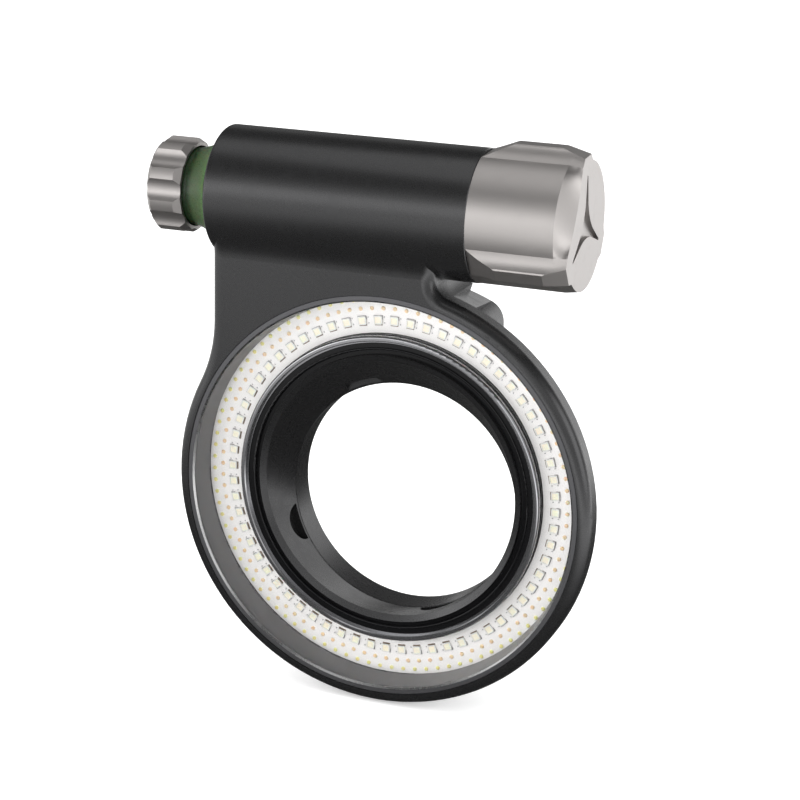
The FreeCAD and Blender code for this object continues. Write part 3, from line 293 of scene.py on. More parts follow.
@dataclass(frozen=True)
class Finish:
    """One finish of the light, with the detail that its surface has."""

    name: str
    colour: Triple
    roughness: float
    metallic: float = 0.0
    surface: Surface = Surface.BLASTED
    grain: float = 0.25 * MM
    relief: float = 0.004 * MM
    shade_spread: float = 0.12
    roughness_spread: float = 0.06
    speckle: float = 0.1
    specular: float = 0.5
    subsurface: float = 0.0
    subsurface_reach: float = 1.5 * MM
    transmission: float = 0.0
    axis_turn: Triple = (QUARTER, 0.0, 0.0)
    axis_point: Triple = RING_CENTRE

    def build(self) -> Material:
        """Make the finish's material.

        Returns:
            A node material that reads Object coordinates.
        """
        material = bpy.data.materials.new(self.name)
        material.use_nodes = True
        tree = material.node_tree
        shader = tree.nodes["Principled BSDF"]
        place = node(tree, "ShaderNodeTexCoord").outputs["Object"]
        micro = node(tree, "ShaderNodeGroup", node_tree=GROUPS["micro"])
        feed(micro, {"Vector": place, "Colour": (*self.colour, 1.0), "Roughness": self.roughness,
                     "Shade Spread": self.shade_spread, "Roughness Spread": self.roughness_spread,
                     "Grain Scale": 1.0 / self.grain, "Speckle": self.speckle})
        feed(shader, {"Base Color": self.tint(tree, place, micro.outputs["Colour"]),
                      "Roughness": micro.outputs["Roughness"], "Specular IOR Level": self.specular,
                      "Metallic": self.metallic, "Transmission Weight": self.transmission,
                      "Subsurface Weight": self.subsurface, "Subsurface Scale": self.subsurface_reach})
        if self.surface is not Surface.POLISHED:
            turned = self.surface is Surface.TURNED
            height = self.lathe_lines(tree, place) if turned else micro.outputs["Height"]
            bump = node(tree, "ShaderNodeBump", {"Height": height, "Strength": 1.0, "Distance": self.relief})
            feed(shader, {"Normal": bump.outputs["Normal"]})
        self.finish_tree(tree, shader)
        return material

    def lathe_lines(self, tree: NodeTree, place: NodeSocket) -> NodeSocket:
        """Add lathe lines around the finish's axis.

        Args:
            tree: The material's node tree.
            place: The object's coordinates.

        Returns:
            The lines' height.
        """
        centred = vector_math(tree, "SUBTRACT", place, self.axis_point).outputs[0]
        mapping = node(tree, "ShaderNodeMapping", {"Vector": centred, "Rotation": self.axis_turn})
        lines = node(tree, "ShaderNodeGroup", node_tree=GROUPS["turned"])
        feed(lines, {"Vector": mapping.outputs[0], "Pitch": self.grain})
        return lines.outputs["Height"]

    def tint(self, tree: NodeTree, place: NodeSocket, colour: NodeSocket) -> NodeSocket:
        """Change the colour over the surface; a plain finish leaves it."""
        return colour

    def finish_tree(self, tree: NodeTree, shader: Node) -> None:
        """Add what a special finish has between its shader and its output."""


@dataclass(frozen=True)
class CollarFinish(Finish):
    """Translucent green plastic, with painted shade by the knob and a painted glow by the barrel."""

    knob_end: float = -58.9 * MM
    barrel_end: float = -49.05 * MM
    # dark is painted shade: the knob's shadow on the collar next to it
    dark: Triple = (0.010, 0.024, 0.008)
    waist: Triple = (0.034, 0.062, 0.021)
    # glow is a painted glow: lighter green in the plastic by the barrel
    glow: Triple = (0.046, 0.132, 0.016)
    waist_spread: tuple[float, float] = (0.2, 0.42)
    painted_glow_from: float = 0.55

    def tint(self, tree: NodeTree, place: NodeSocket, colour: NodeSocket) -> NodeSocket:
        """Colour the collar along the barrel's axis, with painted shade by the knob and a painted glow by the
        barrel.

        Args:
            tree: The material's node tree.
            place: The object's coordinates.
            colour: The speckled base colour.

        Returns:
            The colour for the shader.
        """
        along = split_up(tree, place)[0]
        span = self.barrel_end - self.knob_end
        waist_share = ranged(tree, along, *(self.knob_end + share * span for share in self.waist_spread))
        painted_glow_share = ranged(tree, along, self.knob_end + self.painted_glow_from * span, self.barrel_end)
        # Painted shade by the knob, the plastic's own green at the waist, then a painted glow by the barrel
        body = mixed(tree, waist_share, self.dark, self.waist)
        body = mixed(tree, painted_glow_share, body, self.glow)
        return mixed(tree, 1.0, body, colour, "MULTIPLY")


@dataclass(frozen=True)
class BandFinish(Finish):
    """Finish that is lighter on one band around the ring's axis; on the housing the band is a grey wall, on the
    bezel it is a painted highlight.
    """

    inner: float = 0.0
    outer: float = 0.0
    front: float = 0.0
    back: float = 0.0
    band: Triple = (0.2, 0.2, 0.2)
    band_metallic: float = 0.8

    def tint(self, tree: NodeTree, place: NodeSocket, colour: NodeSocket) -> NodeSocket:
        """Lighten the band, which on the bezel is a painted highlight.

        Args:
            tree: The material's node tree.
            place: The object's coordinates.
            colour: The speckled base colour.

        Returns:
            The colour for the shader.
        """
        x, y, z = split_up(tree, vector_math(tree, "SUBTRACT", place, (0.0, 0.0, RING_CENTRE[2])).outputs[0])
        radius = length_of(tree, x, z)
        tests = (("GREATER_THAN", radius, self.inner), ("LESS_THAN", radius, self.outer),
                 ("GREATER_THAN", y, self.front), ("LESS_THAN", y, self.back))
        inside = 1.0
        for operation, value, limit in tests:
            inside = math_node(tree, "MULTIPLY", inside, math_node(tree, operation, value, limit))
        metal = math_node(tree, "MULTIPLY_ADD", inside, self.band_metallic - self.metallic, self.metallic)
        feed(tree.nodes["Principled BSDF"], {"Metallic": metal})
        return mixed(tree, inside, colour, self.band)


@dataclass(frozen=True)
class GlassFinish(Finish):
    """Clear glass that lets light and shadow rays through to the lamps."""

    ior: float = 1.47

    def finish_tree(self, tree: NodeTree, shader: Node) -> None:
        """Let shadow and diffuse rays pass straight through the glass.

        Args:
            tree: The material's node tree.
            shader: Its glass shader.
        """
        feed(shader, {"IOR": self.ior})
        rays = node(tree, "ShaderNodeLightPath").outputs
        passing = math_node(tree, "MAXIMUM", rays["Is Shadow Ray"], rays["Is Diffuse Ray"])
        mix_to_output(tree, passing, shader, node(tree, "ShaderNodeBsdfTransparent"))


FINISHES = {
    "anodised_black": BandFinish("black_anodise", (0.048, 0.048, 0.049), 0.27, metallic=0.8,
                                 grain=0.16 * MM, relief=0.0030 * MM, shade_spread=0.08, speckle=0.2,
                                 specular=0.35, inner=53.5 * MM, outer=55.8 * MM, front=-17.9 * MM,
                                 back=-14.5 * MM, band=(0.21, 0.21, 0.22)),
    "retainer_grey": Finish("grey_anodise", (0.17, 0.17, 0.175), 0.36, metallic=0.7, surface=Surface.TURNED,
                            grain=0.14 * MM, relief=0.0008 * MM),
    # The bezel's band is a painted highlight: lighter, more metallic black on its flange for the silver
    # reflection there.
    "bezel_black": BandFinish("gloss_black_anodise", (0.006, 0.006, 0.0065), 0.13, surface=Surface.TURNED,
                              grain=0.2 * MM, relief=0.0003 * MM, specular=0.22, inner=41.2 * MM,
                              outer=45.0 * MM, front=-30.0 * MM, band=(0.30, 0.30, 0.31), band_metallic=0.9),
    "titanium_grey": Finish("titanium_anodise", (0.355, 0.337, 0.328), 0.40, metallic=0.92, grain=0.14 * MM,
                            relief=0.0022 * MM, shade_spread=0.05, speckle=0.08),
    "retainer_front": Finish("dark_anodised_land", (0.10, 0.10, 0.105), 0.42, metallic=0.7,
                             surface=Surface.TURNED, grain=0.14 * MM, relief=0.0008 * MM),
    "window_glass": GlassFinish("clear_glass", (0.985, 0.985, 0.985), 0.015, surface=Surface.POLISHED,
                                shade_spread=0.02, roughness_spread=0.01, speckle=0.0, transmission=1.0),
    "collar_green": CollarFinish("green_polycarbonate", (0.95, 0.95, 0.95), 0.34, grain=0.3 * MM,
                                 relief=0.004 * MM, speckle=1.2, specular=0.35, subsurface=0.35),
    "board_white": Finish("white_solder_mask", (0.92, 0.905, 0.89), 0.42, grain=0.4 * MM, relief=0.002 * MM,
                          shade_spread=0.05, speckle=0.04),
    "led_spot": Finish("cream_phosphor", (0.98, 0.87, 0.70), 0.4, grain=0.1 * MM, speckle=0.15,
                       subsurface=0.3),
    "led_warm": Finish("peach_phosphor", (0.94, 0.64, 0.40), 0.35, grain=0.1 * MM, speckle=0.15,
                       subsurface=0.3),
    "led_flood": Finish("yellow_phosphor", (0.93, 0.78, 0.32), 0.35, grain=0.1 * MM, speckle=0.15,
                        subsurface=0.3),
    "seal_rubber": Finish("black_rubber", (0.018, 0.018, 0.018), 0.5, grain=0.3 * MM, relief=0.006 * MM),
    "pad_grey": Finish("heat_pad", (0.38, 0.39, 0.41), 0.7, grain=0.4 * MM, relief=0.01 * MM),
    "stainless": Finish("stainless_steel", (0.60, 0.59, 0.57), 0.28, metallic=1.0, surface=Surface.TURNED,
                        grain=0.1 * MM, relief=0.001 * MM, axis_point=(0.0, 0.0, 0.0)),
    "contact_brass": Finish("gold_plated_brass", (0.83, 0.60, 0.26), 0.25, metallic=1.0, grain=0.2 * MM,
                            relief=0.001 * MM),
    "circuit_green": Finish("green_circuit", (0.02, 0.13, 0.05), 0.35, grain=0.5 * MM, relief=0.002 * MM),
    "component_black": Finish("moulded_black", (0.03, 0.03, 0.032), 0.5, grain=0.2 * MM, relief=0.003 * MM),
    "wire_red": Finish("red_insulation", (0.48, 0.03, 0.025), 0.35, grain=0.4 * MM, relief=0.002 * MM),
    "cell_wrap": Finish("blue_cell_wrap", (0.03, 0.11, 0.28), 0.22, grain=1.5 * MM, relief=0.004 * MM),
    "liner_white": Finish("natural_plastic", (0.74, 0.74, 0.70), 0.45, grain=0.4 * MM, relief=0.004 * MM,
                          subsurface=0.2),
    # Bright metal on the retaining ring's inner bevel: a painted highlight for its specular line.
    "painted_bevel_highlight": Finish("painted_highlight_metal", (0.46, 0.46, 0.46), 0.27, metallic=1.0, surface=Surface.TURNED,
                         grain=0.1 * MM, relief=0.0006 * MM),
    "lamp_case": Finish("white_lamp_case", (0.80, 0.79, 0.76), 0.35, grain=0.2 * MM, relief=0.001 * MM,
                        speckle=0.05),
    "lamp_terminal": Finish("tinned_terminal", (0.42, 0.41, 0.42), 0.35, metallic=0.9, grain=0.1 * MM,
                            relief=0.001 * MM),
    "lamp_mark": Finish("brown_mark", (0.20, 0.145, 0.10), 0.5, grain=0.1 * MM, relief=0.001 * MM),
}


class Paintbox:
    """Builds each finish once and hands out its material."""

    def __init__(self) -> None:
        """Start with no material built."""
        self.built: dict[str, Material] = {}

    def get(self, slot: str) -> Material:
        """Find the material of a slot, and build it the first time.

        Args:
            slot: The slot in the record.

        Returns:
            The material.
        """
        if slot not in self.built:
            self.built[slot] = FINISHES[slot].build()
        return self.built[slot]


PAINT = Paintbox()


# The stage


@dataclass
class SoftBox:
    """One soft studio lamp, aimed at the light."""

    name: str
    towards: Triple
    distance: float
    width: float
    height: float
    radiance: float
    target: Triple = (0.0, -0.012, 0.024)

    def build(self) -> None:
        """Make the lamp and aim it."""
        data = bpy.data.lights.new(self.name, "AREA")
        data.shape = "RECTANGLE"
        data.size = self.width
        data.size_y = self.height
        data.energy = self.radiance * math.pi * self.width * self.height
        lamp = bpy.data.objects.new(self.name, data)
        bpy.context.scene.collection.objects.link(lamp)
        away = Vector(self.towards).normalized()
        lamp.location = Vector(self.target) + away * self.distance
        lamp.rotation_euler = away.to_track_quat("Z", "Y").to_euler()


@dataclass
class Stage:
    """Floor, background, lamps and camera.

    A pair is where a change of brightness starts and ends, in metres over the floor or as a share of
    a direction in the sky. The sky's own pairs are a height and its level.
    """

    floor_gap: float = 0.3 * MM
    floor_size: float = 6.0
    floor_white: float = 0.9
    floor_roughness: float = 0.9
    floor_specular: float = 0.1
    ambient: float = 1.4
    floor_lift: float = 0.34
    bright_band: float = 2.0
    dark_back: float = 0.4
    near_floor: float = 0.06
    far_floor: float = 1.15
    floor_reach: tuple[float, float] = (0.13, 0.47)
    side_floor: float = 2.4
    side_towards: Triple = (0.94, -0.34, 0.0)
    side_near: tuple[float, float] = (0.08, 0.20)
    side_far: tuple[float, float] = (0.25, 0.36)
    back_band: float = 1.6
    back_floor: float = 0.1
    back_towards: Triple = (0.35, 0.94, 0.0)
    back_near: tuple[float, float] = (0.12, 0.45)
    back_far: tuple[float, float] = (2.0, 3.0)
    back_spread: tuple[float, float] = (0.76, 0.95)
    back_rise: tuple[float, float] = (0.72, 0.62)
    dark_turn: tuple[float, float] = (0.2, 0.75)
    sky: tuple[tuple[float, float], ...] = ((0.0, 0.15), (0.50, 0.36), (0.68, 0.60), (0.74, 0.32),
                                            (0.82, 0.03), (0.90, 0.03), (0.955, 0.2), (0.985, 0.16))
    camera_at: Triple = (0.19915, -0.54261, 0.20304)
    camera_right: Triple = (0.93367, 0.35726, 0.02504)
    camera_up: Triple = (-0.12688, 0.26459, 0.95597)
    camera_back: Triple = (0.33490, -0.89574, 0.29237)
    lens: float = 99.0
    sensor: float = 36.0
    clip: float = 0.01
    lamps: list[SoftBox] = field(default_factory=lambda: [
        SoftBox("overhead_box", (-0.15, -0.12, 1.0), distance=0.85, width=0.9, height=0.5, radiance=0.8),
        SoftBox("right_box", (0.95, -0.10, 0.12), distance=0.8, width=0.5, height=0.7, radiance=2.0),
        SoftBox("left_box", (-0.8, -0.55, 0.05), distance=0.9, width=0.8, height=0.6, radiance=1.5),
        SoftBox("front_box", (-0.35, -0.93, 0.25), distance=1.1, width=1.2, height=0.35, radiance=1.5),
    ])

    def build(self) -> None:
        """Make the whole stage."""
        self.build_camera()
        self.build_world()
        self.build_floor()
        for lamp in self.lamps:
            lamp.build()
            LOG.info("lamp %s", lamp.name)
        bpy.context.scene.view_settings.view_transform = "Standard"

    def build_camera(self) -> None:
        """Stand the camera where the photograph was taken from."""
        data = bpy.data.cameras.new("camera")
        data.lens = self.lens
        data.sensor_width = self.sensor
        data.clip_start = self.clip
        camera = bpy.data.objects.new("camera", data)
        bpy.context.scene.collection.objects.link(camera)
        turn = Matrix((self.camera_right, self.camera_up, self.camera_back)).transposed()
        camera.matrix_world = Matrix.Translation(self.camera_at) @ turn.to_4x4()
        bpy.context.scene.camera = camera

    def build_world(self) -> None:
        """White for what the camera, glass and metal see, with studio bands, and a plain fill for the rest."""
        world = bpy.data.worlds.new("studio")
        bpy.context.scene.world = world
        world.use_nodes = True
        tree = world.node_tree
        rays = node(tree, "ShaderNodeLightPath").outputs
        place = node(tree, "ShaderNodeTexCoord").outputs["Generated"]
        _, depth, rise = split_up(tree, place)
        height = math_node(tree, "MULTIPLY_ADD", rise, 0.5, 0.5)
        bands = node(tree, "ShaderNodeValToRGB", {0: height})
        bands.color_ramp.interpolation = "EASE"
        ramp = bands.color_ramp.elements
        while len(ramp) < len(self.sky):
            ramp.new(0.5)
        for element, (spot, level) in zip(ramp, self.sky):
            element.position = spot
            element.color = (level, level, level, 1.0)
        strength = ranged(tree, depth, *self.dark_turn, self.bright_band, self.dark_back)
        studio = scaled(tree, bands.outputs[0], strength)
        back = ranged(tree, dot_with(tree, place, self.back_towards), *self.back_spread)
        low = ranged(tree, height, *self.back_rise)
        glow = math_node(tree, "MULTIPLY", math_node(tree, "MULTIPLY", back, low), self.back_band)
        studio = vector_math(tree, "ADD", studio, glow).outputs[0]
        level = mixed(tree, rays["Is Glossy Ray"], (self.ambient,) * 3, studio)
        level = mixed(tree, self.seen_plainly(tree, rays), level, (1.0, 1.0, 1.0))
        feed(tree.nodes["Background"], {"Color": level})

    @staticmethod
    def seen_plainly(tree: NodeTree, rays: NodeOutputs) -> NodeSocket:
        """Return 1 for what the camera sees, also through glass, and 0 for the rest."""
        return math_node(tree, "MAXIMUM", rays["Is Camera Ray"], rays["Is Transmission Ray"])

    def build_floor(self) -> None:
        """Lay a plain pale floor just under the light, which keeps its shadow."""
        below = CAD_BOX[0][2] - self.floor_gap
        floor = add("floor", bpy.ops.mesh.primitive_plane_add, size=self.floor_size, location=(0.0, 0.0, below))
        bake()
        material = bpy.data.materials.new("pale_floor")
        material.use_nodes = True
        tree = material.node_tree
        rays = node(tree, "ShaderNodeLightPath").outputs
        lift = math_node(tree, "MULTIPLY", self.seen_plainly(tree, rays), self.floor_lift)
        shader = tree.nodes["Principled BSDF"]
        feed(shader, {"Base Color": (*(self.floor_white,) * 3, 1.0), "Roughness": self.floor_roughness,
                      "Specular IOR Level": self.floor_specular, "Emission Color": (1.0, 1.0, 1.0, 1.0),
                      "Emission Strength": lift})
        place = node(tree, "ShaderNodeTexCoord").outputs["Object"]
        distance = vector_math(tree, "LENGTH", place).outputs["Value"]
        glow = ranged(tree, distance, *self.floor_reach, self.near_floor, self.far_floor)
        patches = ((self.back_towards, self.back_near, self.back_far, self.back_floor),
                   (self.side_towards, self.side_near, self.side_far, self.side_floor))
        for towards, near, far, level in patches:
            way = dot_with(tree, place, towards)
            patch = math_node(tree, "MULTIPLY", ranged(tree, way, *near, 0.0, level),
                              ranged(tree, way, *far, 1.0, 0.0))
            glow = math_node(tree, "ADD", glow, patch)
        reflected = node(tree, "ShaderNodeEmission", {"Strength": glow})
        mix_to_output(tree, rays["Is Glossy Ray"], shader, reflected)
        floor.data.materials.append(material)


# Modelling helpers


def deselect_all() -> None:
    """Leave edit mode and deselect every object."""
    if bpy.context.object and bpy.context.object.mode != "OBJECT":
        bpy.ops.object.mode_set(mode="OBJECT")
    bpy.ops.object.select_all(action="DESELECT")


@contextmanager
def editing() -> Iterator[None]:
    """Edit the active object's mesh, and go back to object mode after it."""
    bpy.ops.object.mode_set(mode="EDIT")
    yield
    bpy.ops.object.mode_set(mode="OBJECT")


def bake() -> None:
    """Put the selected objects' places, turns and sizes in their meshes."""
    bpy.ops.object.transform_apply(location=True, rotation=True, scale=True)


def settle(piece: Object, name: str, body: str, slot: str, *replaced: str) -> Object:
    """Name a finished piece, put its place in its mesh, hang it on its body and hide the CAD nodes that it
    stands for.

    Args:
        piece: The modelled object.
        name: Its final name.
        body: The CAD body that it rides on.
        slot: The material slot of the record; not used.
        *replaced: The CAD nodes that it stands for.

    Returns:
        The same object.
    """
    start(piece, name)
    piece.data.name = name
    bake()
    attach(piece, body)
    if replaced:
        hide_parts(*replaced)
    LOG.info("piece %s on %s: %d faces", name, body, len(piece.data.polygons))
    return piece


class Element(Enum):
    """Kind of mesh element, in the order of the selection modes."""

    VERTEX = 0
    EDGE = 1
    FACE = 2


def pick(piece: Object, kind: Element, wanted: Callable) -> None:
    """Select the elements of a mesh that pass a test, ready for edit mode.

    Args:
        piece: The object, in object mode.
        kind: The kind of element.
        wanted: The test, which gets the element.
    """
    groups = (piece.data.vertices, piece.data.edges, piece.data.polygons)
    for group in groups:
        for element in group:
            element.select = False
    for element in groups[kind.value]:
        element.select = bool(wanted(element))
    bpy.context.tool_settings.mesh_select_mode = tuple(kind is option for option in Element)


def start(piece: Object, name: str) -> Object:
    """Make an object the only selected and active one, and name it.

    Args:
        piece: The object.
        name: Its new name.

    Returns:
        The same object.
    """
    deselect_all()
    piece.select_set(True)
    bpy.context.view_layer.objects.active = piece
    piece.name = name
    return piece


def add(name: str, operator: Callable, **settings: object) -> Object:
    """Add a primitive as the only selected and active object.

    Args:
        name: The object's name.
        operator: The operator that adds it.
        **settings: What the operator gets.

    Returns:
        The new object.
    """
    deselect_all()
    operator(**settings)
    return start(bpy.context.object, name)


def new_block(name: str, size: Triple, middle: Triple) -> Object:
    """Add a box of a size around a point.

    Args:
        name: The object's name.
        size: Its sides along X, Y and Z.
        middle: Its middle.

    Returns:
        The box, with its size and place in its mesh.
    """
    box = add(name, bpy.ops.mesh.primitive_cube_add, size=1.0)
    box.scale = size
    box.location = middle
    bake()
    return box


def paint(piece: Object, *slots: str) -> None:
    """Give an object the materials of some slots.

    Args:
        piece: The object.
        *slots: The slots; the first one goes on every face.
    """
    piece.data.materials.clear()
    for slot in slots:
        piece.data.materials.append(PAINT.get(slot))


def join_all(pieces: list[Object], name: str) -> Object:
    """Join objects into the first one.

    Args:
        pieces: The objects.
        name: The joined object's name.

    Returns:
        The joined object.
    """
    deselect_all()
    for piece in pieces:
        piece.select_set(True)
    bpy.context.view_layer.objects.active = pieces[0]
    bpy.ops.object.join()
    return start(pieces[0], name)


def tidy_normals(piece: Object, weld: float = 0.001 * MM) -> None:
    """Weld doubled points and turn every face outwards.

    Args:
        piece: The object.
        weld: How close points are to be welded.
    """
    start(piece, piece.name)
    with editing():
        bpy.ops.mesh.select_all(action="SELECT")
        bpy.ops.mesh.remove_doubles(threshold=weld)
        bpy.ops.mesh.normals_make_consistent(inside=False)


def smooth(piece: Object, degrees: float = 25.0) -> None:
    """Shade an object smooth up to an angle between its faces."""
    start(piece, piece.name)
    bpy.ops.object.shade_smooth_by_angle(angle=math.radians(degrees))


def spun_about_ring(name: str, section: list[tuple[float, float]], steps: int = 224) -> Object:
    """Turn a closed section about the ring's axis.

    Args:
        name: The object's name.
        section: Its corners as a radius and a depth behind the ring's front plane.
        steps: How many flats there are in a turn.

    Returns:
        A closed, smoothly shaded ring.
    """
    ring = add(name, bpy.ops.mesh.primitive_circle_add, vertices=len(section), fill_type="NOTHING")
    for vertex, (radius, depth) in zip(ring.data.vertices, section):
        vertex.co = (radius, RING_CENTRE[1] + depth, RING_CENTRE[2])
    with editing():
        bpy.ops.mesh.select_all(action="SELECT")
        bpy.ops.mesh.spin(steps=steps, angle=2 * math.pi, center=RING_CENTRE, axis=(0.0, 1.0, 0.0))
    tidy_normals(ring)
    smooth(ring)
    return ring


def ring_depth_of(face: MeshPolygon) -> tuple[float, float]:
    """Return a face's radius from the ring's axis and its depth behind the front plane."""
    middle = face.center
    return math.hypot(middle.x - RING_CENTRE[0], middle.z - RING_CENTRE[2]), middle.y - RING_CENTRE[1]


def copies_on_ring(piece: Object, count: int, radius: float, first: float, depth: float,
                   name: str) -> Object:
    """Stand copies of a piece in a circle on the lamp board, each with its own mesh, and join them.

    Args:
        piece: One piece, modelled with +Z as its front and +Y away from the ring's centre.
        count: How many there are.
        radius: The circle's radius.
        first: The first one's angle in degrees; 0 is +X and 90 is up.
        depth: Depth of the board's face.
        name: The joined object's name.

    Returns:
        The joined object.
    """
    made = []
    for index in range(count):
        angle = math.radians(first + 360.0 / count * index)
        out = Vector((math.cos(angle), 0.0, math.sin(angle)))
        across = Vector((math.sin(angle), 0.0, -math.cos(angle)))
        copy = piece.copy()
        copy.data = piece.data.copy()
        bpy.context.scene.collection.objects.link(copy)
        turn = Matrix((across, out, Vector((0.0, -1.0, 0.0)))).transposed()
        place = Vector(RING_CENTRE) + out * radius + Vector((0.0, depth, 0.0))
        copy.matrix_world = Matrix.Translation(place) @ turn.to_4x4()
        made.append(copy)
    bpy.data.objects.remove(piece)
    joined = join_all(made, name)
    bake()
    return joined


# Dressing the CAD nodes


class FrameDresser:
    """Gives every CAD node its procedural material."""

    def dress(self) -> None:
        """Assign a material to each CAD node by its slot in the record."""
        for part in frame["record"]["subparts"]:
            piece = frame["nodes"][part["node"]]
            paint(piece, part["material_slot"])
            LOG.info("node %s in %s", part["node"], part["material_slot"])


# The ring


@dataclass
class WindowGlass:
    """Clear ring window with ground edges."""

    inner: float = 41.5 * MM
    outer: float = 55.5 * MM
    front: float = 8.2 * MM
    back: float = 10.2 * MM
    edge: float = 0.2 * MM

    def build(self) -> Object:
        """Spin the glass.

        Returns:
            The window.
        """
        e = self.edge
        section = [(self.inner + e, self.front), (self.outer - e, self.front), (self.outer, self.front + e),
                   (self.outer, self.back - e), (self.outer - e, self.back), (self.inner + e, self.back),
                   (self.inner, self.back - e), (self.inner, self.front + e)]
        glass = spun_about_ring("window_glass", section)
        paint(glass, "window_glass")
        return settle(glass, "window_glass", "light_body", "window_glass", "ring_window")


@dataclass
class RetainingRing:
    """Window's retaining ring: dark front, an inner bevel in bright metal that is a painted highlight, and a
    grooved wall that leans in.
    """

    inner: float = 54.0 * MM
    outer: float = 55.75 * MM
    front: float = 0.15 * MM
    back: float = 8.2 * MM
    bevel: float = 0.45 * MM
    edge: float = 0.15 * MM
    groove_depth: float = 1.05 * MM
    groove: float = 0.18 * MM
    lean: float = 0.9 * MM

    def build(self) -> Object:
        """Spin the ring and finish its front, bevel and groove.

        Returns:
            The retaining ring.
        """
        g = self.groove
        start_depth = self.front + self.bevel
        section = [(self.inner + self.bevel, self.front), (self.outer - self.edge, self.front),
                   (self.outer, self.front + self.edge), (self.outer, self.back),
                   (self.inner - self.lean, self.back), (self.inner, self.groove_depth + g),
                   (self.inner + g, self.groove_depth + g), (self.inner + g, self.groove_depth),
                   (self.inner, self.groove_depth), (self.inner, start_depth)]
        ring = spun_about_ring("retaining_ring_turned", section)
        slots = ("retainer_grey", "painted_bevel_highlight", "seal_rubber", "retainer_front")
        paint(ring, *slots)
        for face in ring.data.polygons:
            radius, depth = ring_depth_of(face)
            if depth < self.front + self.edge and radius > self.inner + self.bevel:
                face.material_index = slots.index("retainer_front")
            # The inner bevel gets the bright metal of the painted highlight.
            if self.inner < radius < self.inner + self.bevel and depth < start_depth:
                face.material_index = slots.index("painted_bevel_highlight")
            elif self.groove_depth < depth < self.groove_depth + g and radius < self.outer - self.bevel:
                face.material_index = slots.index("seal_rubber")
        return settle(ring, "retaining_ring_turned", "light_body", "retainer_grey", "retaining_ring")


@dataclass
class SpotLamps:
    """Row of square lamps, each a moulded case with a sunken phosphor, a terminal frame and a marked side."""

    count: int = 64
    radius: float = 46.8 * MM
    depth: float = BOARD_DEPTH
    wide: float = 2.3 * MM
    long: float = 2.3 * MM
    high: float = 0.6 * MM
    corner: float = 0.35 * MM
    rim: float = 0.3 * MM
    sink: float = 0.12 * MM
    frame_reach: float = 0.16 * MM
    frame_high: float = 0.12 * MM
    mark_wide: float = 2.1 * MM
    mark_long: float = 0.3 * MM
    mark_high: float = 0.2 * MM
    solder_long: float = 0.36 * MM
    solder_wide: float = 0.216 * MM
    solder_out: float = 0.576 * MM
    solder_apart: float = 1.61 * MM

    def case(self) -> Object:
        """Model one lamp's case with its phosphor.

        Returns:
            The case.
        """
        box = new_block("spot_case", (self.wide, self.long, self.high), (0.0, 0.0, self.high / 2))
        mesh = box.data
        pick(box, Element.EDGE, lambda edge: abs(mesh.vertices[edge.vertices[0]].co.z
                                                 - mesh.vertices[edge.vertices[1]].co.z) > self.high / 2)
        with editing():
            bpy.ops.mesh.bevel(offset=self.corner, segments=2, affect="EDGES")
        pick(box, Element.FACE, lambda face: face.normal.z > UPWARDS)
        with editing():
            bpy.ops.mesh.inset(thickness=self.rim)
            bpy.ops.mesh.extrude_region_move(TRANSFORM_OT_translate={"value": (0.0, 0.0, -self.sink)})
        slots = ("lamp_case", "led_spot")
        paint(box, *slots)
        inside = self.wide / 2 - self.rim
        for face in mesh.polygons:
            middle = face.center
            sunk = middle.z < self.high - self.sink / 2 and abs(middle.x) < inside and abs(middle.y) < inside
            if face.normal.z > UPWARDS and sunk:
                face.material_index = slots.index("led_spot")
        return box

    def build(self) -> Object:
        """Model one lamp with its terminals and marks, and stand the row of them.

        Returns:
            The row.
        """
        lamp = self.case()
        reach = self.frame_reach
        frame_size = (self.wide + 2 * reach, self.long / 2, self.frame_high)
        terminals = new_block("spot_terminals", frame_size, (0.0, self.long / 4 + reach, self.frame_high / 2))
        paint(terminals, "lamp_terminal")
        mark = new_block("spot_mark", (self.mark_wide, self.mark_long, self.mark_high),
                         (0.0, -self.long / 2 - self.mark_long / 2, self.mark_high / 2))
        paint(mark, "lamp_mark")
        spots = []
        for along in (-self.solder_apart / 2, self.solder_apart / 2):
            spot = new_block("solder_spot", (self.solder_wide, self.solder_long, self.frame_high),
                             (self.wide / 2 + self.solder_out, along, self.frame_high / 2))
            paint(spot, "lamp_terminal")
            spots.append(spot)
        lamp = join_all([lamp, terminals, mark, *spots], "spot_lamp")
        row = copies_on_ring(lamp, self.count, self.radius, 0.0, self.depth, "spot_lamps")
        return settle(row, "spot_lamps", "light_body", "led_spot", "leds_spot")


@dataclass
class DotLamps:
    """Row of small domed lamps, which starts a share of a step round from +X."""

    node: str
    slot: str
    radius: float
    turned_by: float = 0.0
    count: int = 96
    depth: float = BOARD_DEPTH
    dome: float = 0.58 * MM
    high: float = 0.25 * MM
    round_share: float = 0.6
    sides: int = 10

    def build(self) -> Object:
        """Model one dome and stand the row of them.

        Returns:
            The row.
        """
        dome = add("dot_lamp", bpy.ops.mesh.primitive_cylinder_add, vertices=self.sides, radius=self.dome,
                   depth=self.high)
        dome.location = (0.0, 0.0, self.high / 2)
        bake()
        pick(dome, Element.FACE, lambda face: face.normal.z > UPWARDS)
        with editing():
            bpy.ops.mesh.bevel(offset=self.high * self.round_share, segments=2, affect="EDGES")
        smooth(dome, degrees=60.0)
        paint(dome, self.slot)
        name = self.node + "_domes"
        first = 360.0 / self.count * self.turned_by
        row = copies_on_ring(dome, self.count, self.radius, first, self.depth, name)
        return settle(row, name, "light_body", self.slot, self.node)


# Threads, springs and seals


